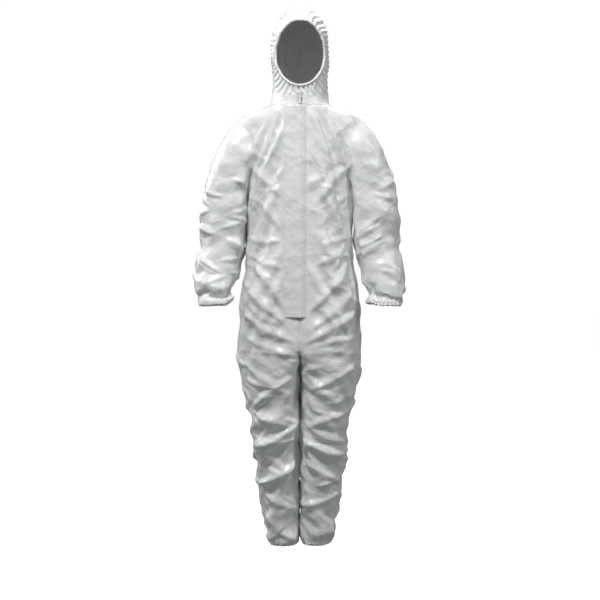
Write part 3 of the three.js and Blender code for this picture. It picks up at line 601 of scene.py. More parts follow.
def drape(skin):
    """Settles the suit on its wearer. Its cut is longer than the room that it hangs in, so it folds."""
    co = coords(skin)
    x, y, z = np.abs(co[:, 0]) * 1000, co[:, 1] * 1000, height(co)
    sleeve = in_sleeve(co) & (z < 1180)
    hem = edge_points(skin.data)
    chin = smooth_step(z, 1290, 1330) * smooth_step(-z, -1385, -1345) * (y < 20)
    inner_leg = 0.3 * (x < 16) * smooth_step(-z, -600, -570)
    hold = np.maximum.reduce([flat_front(co), 0.6 * chin, hem, inner_leg, np.full(len(co), SOFT_HOLD)])
    group = skin.vertex_groups.new(name="hold")
    for share in np.unique(np.round(hold, 2)):
        group.add(np.flatnonzero(np.round(hold, 2) == share).tolist(), float(share), "REPLACE")

    cloth_cut = co.copy()
    lengthened = np.where(sleeve, SPARE_SLEEVE * (z - 1180) + SPARE_BODY * (1180 - 1250), SPARE_BODY * (z - 1250))
    lengthened += np.where(sleeve, 0, (SPARE_LEG - SPARE_BODY) * np.minimum(z - 640, 0))
    for top, bottom, amount in BODY_BUNCHES:
        lengthened -= np.where(sleeve, 0, amount * smooth_step(-z, -top, -bottom))
    for top, bottom, amount in SLEEVE_BUNCHES:
        lengthened -= np.where(sleeve, amount * smooth_step(-z, -top, -bottom), 0)
    cloth_cut[:, 2] += lengthened / 1000
    middle = np.where(sleeve, 238, np.where(z < 590, 84, 0)) * np.sign(co[:, 0]) / 1000
    widened = np.where(sleeve, smooth_step(-z, -1180, -1080), np.where(z < 590, smooth_step(-z, -590, -520), 1))
    cloth_cut[:, 0] += (co[:, 0] - middle) * SPARE_GIRTH * widened
    cloth_cut[:, 1] *= 1 + SPARE_GIRTH
    lift = crumple(co, 0.05, (5, 12, 16, 18), 2.0) * 0.001 + 2.0 * pulled_folds(co)
    start = co + normals(skin.data) * (lift * (1 - hold))[:, None]
    set_coords(skin, start)
    skin.shape_key_add(name="start")
    key = skin.shape_key_add(name="cut")
    key.data.foreach_set("co", cloth_cut.ravel())
    key.value = 0

    bulk = form(13.0, 0.012)
    set_coords(bulk, close_up(coords(bulk)))
    bulk.modifiers.new("collision", "COLLISION")
    bulk.collision.thickness_outer = 0.002
    bulk.collision.cloth_friction = 20

    cloth = skin.modifiers.new("cloth", "CLOTH")
    settings = cloth.settings
    settings.quality = 5
    settings.mass = 0.1
    settings.tension_stiffness = settings.compression_stiffness = STIFF
    settings.shear_stiffness = STIFF / 3
    settings.bending_stiffness = BEND
    settings.tension_damping = settings.compression_damping = 5
    settings.bending_damping = 1
    settings.vertex_group_mass = "hold"
    settings.pin_stiffness = 1
    settings.effector_weights.gravity = GRAVITY
    settings.rest_shape_key = key
    settings.use_pressure = True
    settings.uniform_pressure_force = PRESSURE
    cloth.collision_settings.distance_min = 0.003
    cloth.point_cache.frame_end = DRAPE_FRAMES
    for number in range(1, DRAPE_FRAMES + 1):
        bpy.context.scene.frame_set(number)
    evaluated(skin)
    skin.vertex_groups.clear()
    delete(bulk)
    bpy.context.scene.frame_set(1)


SOFT_HOLD, SPARE_SLEEVE, SPARE_BODY, SPARE_LEG, SPARE_GIRTH = 0.03, 0.07, 0.035, 0.05, 0.02
# heights between which the cut has some more spare length, and how much, in millimetres
BODY_BUNCHES = ((900, 780, 26), (650, 540, 10), (400, 290, 14), (150, 30, 14))
SLEEVE_BUNCHES = ((970, 860, 16), (820, 735, 14))
STIFF, BEND, GRAVITY, PRESSURE, DRAPE_FRAMES = 30, 2.5, 0.4, 0.3, 28


# ---------------------------------------------------------------- node trees

class Nodes:
    """Adds nodes to one tree. `add` takes a node's type, its settings and the values or links of its inputs."""

    def __init__(self, tree):
        self.tree = tree

    def add(self, kind, settings=None, inputs=None, output=0):
        node = self.tree.nodes.new(kind)
        for key, value in (settings or {}).items():
            setattr(node, key, value)
        for key, value in (inputs or {}).items():
            socket = node.inputs[key]
            value = getattr(value, "socket", value)
            if isinstance(value, bpy.types.NodeSocket):
                self.tree.links.new(value, socket)
            else:
                socket.default_value = value
        return Link(self, node.outputs[output]) if node.outputs else node

    def ramp(self, factor, stops):
        node = self.tree.nodes.new("ShaderNodeValToRGB")
        points = node.color_ramp.elements
        while len(points) < len(stops):
            points.new(0.5)
        for point, (at, grey) in zip(points, stops):
            point.position = at
            point.color = (grey, grey, grey, 1)
        self.tree.links.new(factor.socket, node.inputs["Fac"])
        return Link(self, node.outputs["Color"])


class Link:
    """A number in a node tree. Arithmetic on it adds Math nodes."""

    def __init__(self, nodes, socket):
        self.nodes, self.socket = nodes, socket

    def math(self, operation, *others):
        values = dict(enumerate([self, *others]))
        return self.nodes.add("ShaderNodeMath", {"operation": operation}, values)

    def __add__(self, other):
        return self.math("ADD", other)

    def __mul__(self, other):
        return self.math("MULTIPLY", other)

    def __sub__(self, other):
        return self.math("SUBTRACT", other)

    def __rsub__(self, other):
        return self.nodes.add("ShaderNodeMath", {"operation": "SUBTRACT"}, {0: other, 1: self})

    def __pow__(self, other):
        return self.math("POWER", other)

    __radd__ = __add__
    __rmul__ = __mul__


def finish(name, build, **constants):
    """A material whose shader takes `constants` as they are and what `build` returns as links."""
    material = bpy.data.materials.new(name)
    material.use_nodes = True
    tree = material.node_tree
    shader = tree.nodes["Principled BSDF"]
    for key, value in constants.items():
        shader.inputs[key.replace("_", " ")].default_value = value
    for key, value in build(Nodes(tree)).items():
        tree.links.new(value.socket, shader.inputs[key.replace("_", " ")])
    return material


def place(nodes, stretch=(1, 1, 1), turn=(0, 0, 0)):
    spot = nodes.add("ShaderNodeTexCoord", output=3)
    turned = nodes.add("ShaderNodeMapping", inputs={"Vector": spot, "Rotation": turn})
    return nodes.add("ShaderNodeMapping", inputs={"Vector": turned, "Scale": stretch})


def grain(nodes, spot, scale, detail=3.0, rough=0.5):
    return nodes.add("ShaderNodeTexNoise", inputs={"Vector": spot, "Scale": scale, "Detail": detail, "Roughness": rough})


def two_tone(nodes, factor, dark, light):
    mix = nodes.add("ShaderNodeMix", {"data_type": "RGBA"}, {"Factor": factor}, output=2)
    node = mix.socket.node
    node.inputs[6].default_value = (*dark, 1)
    node.inputs[7].default_value = (*light, 1)
    return mix


def bump(nodes, height, distance, strength=1.0, under=None):
    inputs = {"Height": height, "Distance": distance, "Strength": strength}
    if under:
        inputs["Normal"] = under
    return nodes.add("ShaderNodeBump", inputs=inputs)


def creases(nodes, spot, scale):
    """Sharp crease lines with flat sides between them."""
    wander = nodes.add("ShaderNodeTexNoise", inputs={"Vector": spot, "Scale": scale * 0.5, "Detail": 2.0}, output=1)
    bent = nodes.add("ShaderNodeVectorMath", {"operation": "MULTIPLY_ADD"},
                     {0: wander, 1: (1 / scale, 1 / scale, 1 / scale), 2: spot})
    return nodes.add("ShaderNodeTexVoronoi", {"distance": "MANHATTAN"}, {"Vector": bent, "Scale": scale})


def laminate_look(nodes):
    spot = place(nodes)
    rising = place(nodes, (1, 1, 2.2), turn=(0, 0.5, 0))
    falling = place(nodes, (1, 1, 2.2), turn=(0, -0.6, 0.3))
    wide = creases(nodes, rising, 9.0) ** 3 + creases(nodes, falling, 12.0) ** 3
    fine = creases(nodes, rising, 48.0) ** 2
    film = grain(nodes, spot, 1400.0, 2.0)
    cloud = grain(nodes, spot, 9.0, 4.0)
    worked = nodes.ramp(grain(nodes, spot, 11.0, 3.0, 0.6), ((0.46, 0.0), (0.66, 1.0)))
    relief = bump(nodes, wide, 0.0022, 0.3)
    relief = bump(nodes, fine * worked, 0.0011, 0.4, relief)
    relief = bump(nodes, film, 0.0001, 0.3, relief)
    return {
        "Base_Color": two_tone(nodes, cloud, (0.80, 0.815, 0.81), (0.87, 0.875, 0.87)),
        "Roughness": cloud * 0.16 + fine * 0.05 + 0.2,
        "Normal": relief,
    }


def gathered_look(nodes):
    spot = place(nodes)
    pleats = grain(nodes, place(nodes, (1, 1, 0.35)), 260.0, 3.0)
    weave = creases(nodes, spot, 420.0)
    return {
        # painted shade: the colour follows the pleats' bump, darker in their hollows and paler on their crests
        "Base_Color": two_tone(nodes, pleats, (0.74, 0.745, 0.73), (0.87, 0.87, 0.86)),
        "Roughness": pleats * 0.2 + 0.42,
        "Normal": bump(nodes, weave, 0.0004, 0.5, bump(nodes, pleats, 0.0016, 0.7)),
    }


def woven_look(nodes):
    across = nodes.add("ShaderNodeTexWave", {"bands_direction": "Z"}, {"Vector": place(nodes), "Scale": 420.0})
    along = nodes.add("ShaderNodeTexWave", {"bands_direction": "X"}, {"Vector": place(nodes), "Scale": 420.0})
    weave = across.math("MAXIMUM", along)
    fuzz = grain(nodes, place(nodes), 700.0)
    return {
        # painted shade: the colour is darker where the weave's bump sinks between the yarns; the fuzz mixed in is the
        # tape's own uneven tone
        "Base_Color": two_tone(nodes, weave * 0.6 + fuzz * 0.4, (0.70, 0.705, 0.70), (0.84, 0.84, 0.83)),
        "Roughness": 0.86 - 0.18 * weave,
        "Normal": bump(nodes, weave, 0.0003, 0.7),
    }


def nylon_look(nodes):
    flow = grain(nodes, place(nodes, (1, 1, 0.3)), 500.0)
    wear = grain(nodes, place(nodes), 120.0, 5.0)
    return {
        "Base_Color": two_tone(nodes, wear, (0.76, 0.765, 0.755), (0.86, 0.86, 0.85)),
        "Roughness": flow * 0.18 + 0.26,
        "Normal": bump(nodes, flow, 0.0001, 0.4),
    }


def thread_look(nodes):
    twist = nodes.add("ShaderNodeTexWave", {"bands_direction": "DIAGONAL"}, {"Vector": place(nodes), "Scale": 900.0})
    return {
        # painted shade: the colour is darker in the grooves of the twist, where its bump sinks
        "Base_Color": two_tone(nodes, twist, (0.66, 0.67, 0.665), (0.84, 0.84, 0.83)),
        "Roughness": 0.7 - 0.2 * twist,
        "Normal": bump(nodes, twist, 0.0002, 0.6),
    }


def release_look(nodes):
    spot = place(nodes)
    ripple = grain(nodes, place(nodes, (1, 1, 0.2)), 130.0)
    return {
        "Base_Color": two_tone(nodes, grain(nodes, spot, 40.0), (0.70, 0.715, 0.72), (0.80, 0.81, 0.815)),
        "Roughness": ripple * 0.15 + 0.16,
        "Normal": bump(nodes, ripple, 0.0004, 0.5),
    }


def satin_look(nodes):
    ribs = nodes.add("ShaderNodeTexWave", {"bands_direction": "Z"}, {"Vector": place(nodes), "Scale": 800.0})
    return {
        "Base_Color": two_tone(nodes, grain(nodes, place(nodes), 60.0), (0.84, 0.84, 0.83), (0.9, 0.9, 0.89)),
        "Roughness": 0.52 - 0.14 * ribs,
        "Normal": bump(nodes, ribs, 0.0002, 0.5),
    }


LAMINATE = finish("white_laminate", laminate_look, Coat_Weight=0.12, Coat_Roughness=0.3)
GATHERED = finish("gathered_elastic", gathered_look)
TAPE = finish("zip_tape_weave", woven_look)
NYLON = finish("moulded_nylon", nylon_look)
THREAD = finish("sewing_thread", thread_look)
RELEASE = finish("release_film", release_look)
SATIN = finish("label_satin", satin_look)


# ---------------------------------------------------------------- repeated shapes

def repeat_along(path, item, finish_material, spacing, name):
    """Sets copies of `item`, whose z runs along the path, at even spacing, as one plain mesh."""
    tree = bpy.data.node_groups.new(name, "GeometryNodeTree")
    tree.interface.new_socket("Path", in_out="INPUT", socket_type="NodeSocketGeometry")
    tree.interface.new_socket("Spacing", in_out="INPUT", socket_type="NodeSocketFloat")
    tree.interface.new_socket("Item", in_out="INPUT", socket_type="NodeSocketObject")
    tree.interface.new_socket("Copies", in_out="OUTPUT", socket_type="NodeSocketGeometry")
    nodes = Nodes(tree)
    given = tree.nodes.new("NodeGroupInput")
    curve = nodes.add("GeometryNodeMeshToCurve", inputs={"Mesh": given.outputs["Path"]})
    points = nodes.add("GeometryNodeCurveToPoints", {"mode": "LENGTH"},
                       {"Curve": curve, "Length": given.outputs["Spacing"]})
    shape = nodes.add("GeometryNodeObjectInfo", inputs={"Object": given.outputs["Item"]})
    copies = nodes.add("GeometryNodeInstanceOnPoints", inputs={
        "Points": points, "Instance": shape.socket.node.outputs["Geometry"],
        "Rotation": points.socket.node.outputs["Rotation"]})
    whole = nodes.add("GeometryNodeRealizeInstances", inputs={"Geometry": copies})
    painted = nodes.add("GeometryNodeSetMaterial", inputs={"Geometry": whole, "Material": finish_material})
    out = tree.nodes.new("NodeGroupOutput")
    tree.links.new(painted.socket, out.inputs["Copies"])
    modifier = path.modifiers.new(name, "NODES")
    modifier.node_group = tree
    sockets = {s.name: s.identifier for s in tree.interface.items_tree if s.in_out == "INPUT"}
    modifier[sockets["Spacing"]] = spacing
    modifier[sockets["Item"]] = item
    evaluated(path)
    path.data.shade_smooth()
    path.name = name
    return path


def stitch():
    """One stitch: a short thread that dives into the cloth at both ends, with z along the seam."""
    verts, faces = [], []
    sides, steps = 6, 6
    for i in range(steps + 1):
        t = i / steps
        lift = 0.00045 * math.sin(math.pi * t) - 0.0002
        thick = 0.00022 * (0.6 + 0.4 * math.sin(math.pi * t))
        for j in range(sides):
            turn = 2 * math.pi * j / sides
            verts.append((thick * math.cos(turn), lift + thick * math.sin(turn), (t - 0.5) * STITCH_LENGTH))
    for i in range(steps):
        for j in range(sides):
            k = (j + 1) % sides
            faces.append((i * sides + j, i * sides + k, (i + 1) * sides + k, (i + 1) * sides + j))
    faces += [tuple(range(sides))[::-1], tuple(range(steps * sides, (steps + 1) * sides))]
    return new_object("stitch", verts, faces)


STITCH_LENGTH, STITCH_SPACING = 0.0028, 0.0036


# ---------------------------------------------------------------- the cloth of the whole suit

def sew_suit():
    """The suit's skin, cut along its seams, draped, and refined so that it can carry crumples."""
    skin = form(0, 0.008)
    set_coords(skin, close_up(coords(skin)))
    open_ends(skin)
    cut_seams(skin)
    mesh = skin.data
    middles = np.array([p.center for p in mesh.polygons])
    mesh.attributes.new("panel", "INT", "FACE").data.foreach_set("value", panel_of(middles).astype(np.int32))
    rest = coords(skin)
    mesh.attributes.new("rest", "FLOAT_VECTOR", "POINT").data.foreach_set("vector", rest.ravel())
    drape(skin)
    refined = skin.modifiers.new("refined", "SUBSURF")
    refined.levels = refined.render_levels = 1
    return evaluated(skin)


def end_waves(rest):
    """Gathers that the elastics draw into the cloth, strongest at the openings, in metres."""
    x, y, z = np.abs(rest[:, 0]) * 1000, rest[:, 1] * 1000, height(rest)
    sway = np.array([noise.noise(Vector(p) * 14) for p in rest])
    sleeve = in_sleeve(rest)
    ends = (
        ((face_radius(rest) - 1) * 84, np.arctan2(z - FACE_CENTRE, rest[:, 0] * 1000), 44, (z > 1345) & (y < 40), 42),
        (below_cuff(rest) * 1000, np.arctan2(y + 54, x - 250), 24, sleeve & (z < 830), 26),
        (z, np.arctan2(y - 6, x - 48), 22, z < 150, 26),
    )
    out = np.zeros(len(rest))
    for distance, angle, count, where, reach in ends:
        wave = np.sin(angle * count + 5 * sway)
        out += where * 0.0035 * np.exp(-np.maximum(distance, 0) / reach) * wave
    return out


def pack_folds(rest):
    """The sharp creases that stay from the suit's folded pack, in metres."""
    x, y, z = rest[:, 0] * 1000, rest[:, 1] * 1000, height(rest)
    body = ~in_sleeve(rest)
    front = body & (y < 0)
    upright = smooth_step(z, 1020, 1075) * smooth_step(-z, -1300, -1270)
    out = front * upright * (np.exp(-np.abs(x + 104) / 4) + np.exp(-np.abs(x - 101) / 4))
    for level_of_fold, half in ((1067, 150), (872, 120), (598, 190), (336, 160), (470, 150)):
        across = smooth_step(-np.abs(x), -half, -half + 30) * smooth_step(np.abs(x), 26, 52)
        wander = level_of_fold + 5 * np.sin(x / 37)
        out += body * across * np.exp(-np.abs(z - wander) / 4)
    return 0.0017 * out


def faces_of(mesh):
    """Corner points of each face. The refined skin has four-cornered faces only."""
    corners = np.empty(len(mesh.loops), int)
    mesh.loops.foreach_get("vertex_index", corners)
    return corners.reshape(-1, 4)


def sum_at(index, values, count):
    """The sum of the rows of `values` that go to each index."""
    return np.stack([np.bincount(index, values[:, k], count) for k in range(values.shape[1])], axis=1)


def face_frames(co, faces):
    """Unit normal, middle and area of each face."""
    corner = co[faces]
    across = np.cross(corner[:, 2] - corner[:, 0], corner[:, 3] - corner[:, 1])
    area = np.linalg.norm(across, axis=1) + 1e-12
    return across / area[:, None], corner.mean(1), area


def neighbours(faces):
    """Pairs of faces that share an edge."""
    a, b = faces.ravel().astype(np.int64), np.roll(faces, -1, axis=1).ravel().astype(np.int64)
    key = np.minimum(a, b) * (faces.max() + 1) + np.maximum(a, b)
    order = np.argsort(key, kind="stable")
    owner = np.repeat(np.arange(len(faces)), 4)[order]
    same = key[order][1:] == key[order][:-1]
    return owner[:-1][same], owner[1:][same]


def creased(co, faces, fixed):
    """Turns soft lumps into flat planes with sharp creases between them, as film-faced cloth folds. Each face's
    normal is averaged with those of its neighbours that already lie about the same way, and the points follow."""
    normal, middle, area = face_frames(co, faces)
    one, two = neighbours(faces)
    here, there = np.concatenate([one, two]), np.concatenate([two, one])
    for _ in range(CREASE_ROUNDS):
        apart = ((normal[here] - normal[there]) ** 2).sum(1)
        weight = area[there] * np.exp(-apart / (2 * CREASE_ANGLE ** 2))
        normal = normal * area[:, None] + sum_at(here, normal[there] * weight[:, None], len(faces))
        normal /= np.linalg.norm(normal, axis=1)[:, None]
    corners = faces.ravel()
    uses = np.bincount(corners, minlength=len(co))[:, None]
    for _ in range(CREASE_ROUNDS):
        middle = co[faces].mean(1)
        gap = ((middle[:, None] - co[faces]) * normal[:, None]).sum(2)
        step = (gap[..., None] * normal[:, None]).reshape(-1, 3)
        co = co + np.where(fixed[:, None], 0, sum_at(corners, step, len(co)) / uses)
    return co


CREASE_ROUNDS, CREASE_ANGLE = 12, 0.2


def cloth_of(panel):
    name = PANELS[panel % len(PANELS)]
    return PANELS.index(RUNS_ON.get(name, name)) + panel // len(PANELS) * len(PANELS)


def crumple_suit(skin):
    """Adds crumples, gathers and seam grooves to the draped skin. Returns the arrays that the panels need."""
    mesh = skin.data
    count = len(mesh.vertices)
    rest = np.empty(count * 3)
    mesh.attributes["rest"].data.foreach_get("vector", rest)
    rest = rest.reshape(-1, 3)
    faces = faces_of(mesh)
    panel = np.empty(len(faces), np.int32)
    mesh.attributes["panel"].data.foreach_get("value", panel)
    x, z = rest[:, 0] * 1000, height(rest)
    under_flap = smooth_step(x, -62, -46) * smooth_step(-x, -30, -16) * (rest[:, 1] < 0) * smooth_step(z, 640, 690)
    free = 1 - 0.85 * under_flap * (z < 1352) * (1 - in_sleeve(rest))
    legs_apart = 1 - 0.7 * (np.abs(x) < 14) * (z < 600)
    inner_leg = (np.abs(x) < 16) & (z < 600)
    co = creased(coords(skin), faces, (edge_points(mesh) > 0) | inner_leg)
    set_coords(skin, co)
    rise = crumple(rest, 0.024, (0.6, 1.2, 1.6, 2.0), 1.0) * 0.001
    rise += np.maximum(pulled_folds(rest), sharp_folds(rest)) - 0.0015 * ~inner_leg
    rise = (rise + pack_folds(rest)) * free * legs_apart + end_waves(rest)

    cloth = np.array([cloth_of(p) for p in range(2 * len(PANELS))])[panel]
    least, most = np.full(count, 99), np.full(count, -1)
    for corner in faces.T:
        np.minimum.at(least, corner, cloth)
        np.maximum.at(most, corner, cloth)
    seam = least != most
    beside = np.zeros(count, bool)
    beside[faces[seam[faces].any(1)].ravel()] = True
    rise += np.where(seam, -0.0013, np.where(beside, 0.0005, 0))
    co = co + normals(mesh) * rise[:, None]
    set_coords(skin, co)
    return co, normals(mesh), rest, faces, panel, seam


def shell_of(name, co, out, faces, thickness):
    """A piece of cloth with both its faces, and its cut edges closed."""
    used, index = np.unique(faces.ravel(), return_inverse=True)
    quads = index.reshape(faces.shape)
    count = len(used)
    outer, inner = co[used], co[used] - out[used] * thickness
    a, b = quads.ravel(), np.roll(quads, -1, axis=1).ravel()
    there, back = a * count + b, b * count + a
    open_edge = ~np.isin(there, back)
    a, b = a[open_edge], b[open_edge]
    rim = np.stack([b, a, a + count, b + count], axis=1)
    every = np.concatenate([quads, quads[:, ::-1] + count, rim])
    obj = new_object(name, np.concatenate([outer, inner]), every)
    flat = np.zeros(len(every), bool)
    flat[len(quads) * 2:] = True
    obj.data.polygons.foreach_set("use_smooth", ~flat)
    face_normals = np.empty(len(every) * 3)
    obj.data.polygons.foreach_get("normal", face_normals)
    corner = np.concatenate([out[used], -out[used]])[every]
    corner[flat] = face_normals.reshape(-1, 3)[flat][:, None]
    obj.data.normals_split_custom_set(corner.reshape(-1, 3).tolist())
    return obj


# ---------------------------------------------------------------- the panels, where they are attached, and their seams

SIDES = {"left": 1, "right": -1}


def row(x, y, z):
    return Vector(metres([x, y, z]))


def follow(obj, panel, side):
    """Fixes a piece of cloth in place: the back rides on the torso, and every other panel keeps its points where they
    lie.
    """
    sign = SIDES.get(side, 1)
    if panel == "back":
        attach(obj, "torso")
    elif panel in ("front", "seat"):
        start = row(0, 0, INSEAM)
        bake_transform(obj)
    elif panel == "hood":
        start = row(0, 0, FOLD)
        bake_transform(obj)
    elif panel.startswith("sleeve_upper"):
        start = row(sign * 175.2, 0, 1196.5)
        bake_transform(obj)
    elif panel.startswith("sleeve_lower"):
        row(0, 0, SLEEVE_JOIN)
        row(0, 0, 845)
        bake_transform(obj)
    else:
        row(0, 0, LEG_JOIN)
        row(0, 0, 290)
        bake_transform(obj)


def stands_for(panel, side):
    """The CAD nodes that a panel replaces."""
    return {
        "front": [f"front_panel_{side}", f"thigh_front_{side}"],
        "back": ["back_panel"],
        "seat": ["seat_panel", f"thigh_back_{side}"],
        "hood": [f"neck_panel_{side}", f"hood_panel_{side}"],
        "sleeve_upper_front": [f"upper_sleeve_front_{side}"],
        "sleeve_upper_back": [f"upper_sleeve_back_{side}"],
        "sleeve_lower_front": [f"lower_sleeve_front_{side}"],
        "sleeve_lower_back": [f"lower_sleeve_back_{side}"],
        "leg_lower_front": [f"shin_front_{side}"],
        "leg_lower_back": [f"shin_back_{side}"],
    }[panel]


CLOTH = 0.00045


def seam_lines(co, out, faces, seam, mine, other_cloth):
    """Short edges 3 mm inside a panel, along its seams, as points and pairs. They lie on the cloth."""
    own = faces[mine]
    points, pairs, known = [], [], {}
    inward = {}
    for face in own:
        on = [v for v in face if seam[v]]
        if not on:
            continue
        off = [v for v in face if not seam[v]]
        for v in on:
            inward.setdefault(v, []).extend(off)

    def beside(v):
        if v not in known:
            near = inward.get(v) or []
            if not near:
                return None
            target = co[near].mean(0)
            step = target - co[v]
            length = np.linalg.norm(step)
            known[v] = len(points)
            points.append(co[v] + step * min(1, 0.003 / length) + out[v] * 0.0006)
        return known[v]

    for face in own:
        for a, b in zip(face, np.roll(face, -1)):
            if seam[a] and seam[b] and (min(a, b), max(a, b)) in other_cloth:
                ends = beside(a), beside(b)
                if None not in ends and ends[0] != ends[1]:
                    pairs.append(ends)
    return points, sorted(set(tuple(sorted(p)) for p in pairs))


def seam_edges(faces, cloth):
    """Edges between two cloths, with the higher cloth of each, which carries the topstitching."""
    a, b = faces.ravel(), np.roll(faces, -1, axis=1).ravel()
    key = np.minimum(a, b).astype(np.int64) * 10_000_000 + np.maximum(a, b)
    owner = np.repeat(cloth, 4)
    order = np.argsort(key, kind="stable")
    key, owner = key[order], owner[order]
    twin = (key[1:] == key[:-1]) & (owner[1:] != owner[:-1])
    return {(int(k // 10_000_000), int(k % 10_000_000)): int(max(p, q))
            for k, p, q in zip(key[1:][twin], owner[1:][twin], owner[:-1][twin])}


def make_panels(suit, needle):
    co, out, rest, faces, panel, seam = suit
    cloth = np.array([cloth_of(p) for p in range(2 * len(PANELS))])[panel]
    edges = seam_edges(faces, cloth)
    made = {}
    for number in np.unique(panel):
        kind = PANELS[number % len(PANELS)]
        side = "right" if number >= len(PANELS) else "left"
        name = kind if kind == "back" else f"{kind}_{side}"
        mine = panel == number
        obj = shell_of(f"cloth_{name}", co, out, faces[mine], CLOTH)
        obj.data.materials.append(LAMINATE)
        follow(obj, kind, side)
        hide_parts(*stands_for(kind, side))
        made[name] = obj
        own_edges = {e for e, owner in edges.items() if owner == cloth_of(number)}
        points, pairs = seam_lines(co, out, faces, seam, mine, own_edges)
        if len(pairs) > 3:
            mesh = bpy.data.meshes.new("seam_line")
            mesh.from_pydata([tuple(p) for p in points], pairs, [])
            line = bpy.data.objects.new("seam_line", mesh)
            bpy.context.collection.objects.link(line)
            sewn = repeat_along(line, needle, THREAD, STITCH_SPACING, f"stitches_{name}")
            follow(sewn, kind, side)
            made[f"stitches_{name}"] = sewn
    return made


# ---------------------------------------------------------------- elasticated edges

def open_loops(faces):
    """Closed chains of points along the skin's open edges."""
    a, b = faces.ravel().astype(np.int64), np.roll(faces, -1, axis=1).ravel().astype(np.int64)
    count = faces.max() + 1
    open_edge = ~np.isin(a * count + b, b * count + a)
    after = dict(zip(a[open_edge].tolist(), b[open_edge].tolist()))
    loops = []
    while after:
        start, here = next(iter(after.items()))
        chain = [start]
        del after[start]
        while here != start and here in after:
            chain.append(here)
            here = after.pop(here)
        loops.append(chain)
    return loops


def even_ring(points, steps, relax=6):
    """A closed path through the points, smoothed and with even steps."""
    points = np.asarray(points, float)
    for _ in range(relax):
        points = 0.5 * points + 0.25 * (np.roll(points, 1, 0) + np.roll(points, -1, 0))
    closed = np.vstack([points, points[:1]])
    along = np.concatenate([[0], np.cumsum(np.linalg.norm(np.diff(closed, axis=0), axis=1))])
    at = np.linspace(0, along[-1], steps, endpoint=False)
    return np.stack([np.interp(at, along, closed[:, k]) for k in range(3)], axis=1), along[-1]


def gathered_edge(name, path, up, tall, thick, pleat, depth, drop=0.0, seed=0.0):
    """A casing drawn up by the elastic inside it: an oval band along a closed path, with fine pleats."""
    steps = 400
    ring, length = even_ring(path, steps)
    tangent = np.roll(ring, -1, 0) - np.roll(ring, 1, 0)
    tangent /= np.linalg.norm(tangent, axis=1)[:, None]
    up = np.broadcast_to(np.asarray(up, float), ring.shape)
    away = np.cross(tangent, up)
    away /= np.linalg.norm(away, axis=1)[:, None]
    if ((ring - ring.mean(0)) * away).sum() < 0:
        away = -away
    rise = np.cross(away, tangent)
    rise *= np.sign((rise * up).sum(1))[:, None]
    count = round(length / pleat)
    angle = np.arange(steps) / steps * 2 * np.pi
    shift = np.array([noise.noise(Vector((math.cos(t) * 2.3, math.sin(t) * 2.3, seed))) for t in angle])
    around = 20
    rows = []
    for k in range(around):
        turn = 2 * np.pi * k / around
        side, top = math.cos(turn), math.sin(turn)
        bulge = abs(side) ** 0.7 * math.copysign(1, side)
        wave = np.sin(angle * count + 6 * shift + 0.8 * top) + 0.5 * np.sin(angle * count * 1.7 + 9 * shift + top * 2)
        fold = depth * wave * (0.45 + 0.55 * abs(side))
        offset = thick / 2 * bulge + fold
        lift = tall / 2 * top * (1 + 0.08 * wave) - drop
        rows.append(ring + away * offset[:, None] + rise * lift[:, None])
    verts = np.concatenate(rows)
    faces = []
    for k in range(around):
        nxt = (k + 1) % around
        for i in range(steps):
            j = (i + 1) % steps
            faces.append((k * steps + i, k * steps + j, nxt * steps + j, nxt * steps + i))
    obj = new_object(name, verts, faces)
    right_way_out(obj)
    obj.data.materials.append(GATHERED)
    return obj


def right_way_out(obj):
    bm = bmesh.new()
    bm.from_mesh(obj.data)
    bmesh.ops.recalc_face_normals(bm, faces=bm.faces[:])
    bm.to_mesh(obj.data)
    bm.free()


def make_edges(suit):
    co, out, rest, faces, panel, seam = suit
    made = {}
    for loop in open_loops(faces):
        middle = co[loop].mean(0)
        z = height(middle[None])[0]
        side = "left" if middle[0] > 0 else "right"
        if z > 1400:
            rim = gathered_edge("face_rim", co[loop], (0, -1, 0), 0.0085, 0.0075, 0.0085, 0.0009)
            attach(rim, "hood")
            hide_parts("face_elastic")
            made["face_rim"] = rim
        elif z < 100:
            hem = gathered_edge(f"ankle_hem_{side}", co[loop], (0, 0, 1), 0.016, 0.0036, 0.0095, 0.0011, -0.003, 3.0)
            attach(hem, f"shin_{side}")
            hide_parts(f"ankle_elastic_{side}")
            made[hem.name] = hem
        elif abs(middle[0]) > 0.1:
            hem = gathered_edge(f"cuff_hem_{side}", co[loop], (0, 0, 1), 0.015, 0.0036, 0.0085, 0.0011, -0.003, 5.0)
            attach(hem, f"lower_sleeve_{side}")
            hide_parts(f"cuff_elastic_{side}")
            made[hem.name] = hem
    return made


def make_waist_elastic(suit):
    """The elastic across the back, sewn to the lining just under the waist seam."""
    co, out, rest, faces, panel, seam = suit
    middles = rest[faces].mean(1)
    z = height(middles)
    strip = (z > WAIST - 27) & (z < WAIST - 7) & (middles[:, 1] > 0.012) & (panel % len(PANELS) == 2)
    inner = co - out * (CLOTH + 0.0006)
    band = shell_of("waist_elastic_band", inner, out, faces[strip], 0.0012)
    band.data.materials.append(GATHERED)
    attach(band, "torso")
    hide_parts("waist_elastic")
    return band


# ---------------------------------------------------------------- zip, storm flap and label

ZIP_LENGTH = 0.65816
ZIP_TURN = Matrix.Translation(row(0, -front_depth(ZIP_BOTTOM), ZIP_BOTTOM)) @ Matrix.Rotation(-math.atan(ZIP_LEAN), 4, "X")
FLAP_TOP = 0.62236
TAPE_MIDDLE = 0.003


def on_zip(obj):
    """Places a mesh that is drawn in the zip's own frame: y out of the lining, z up from the bottom end."""
    obj.data.transform(ZIP_TURN)
    return obj


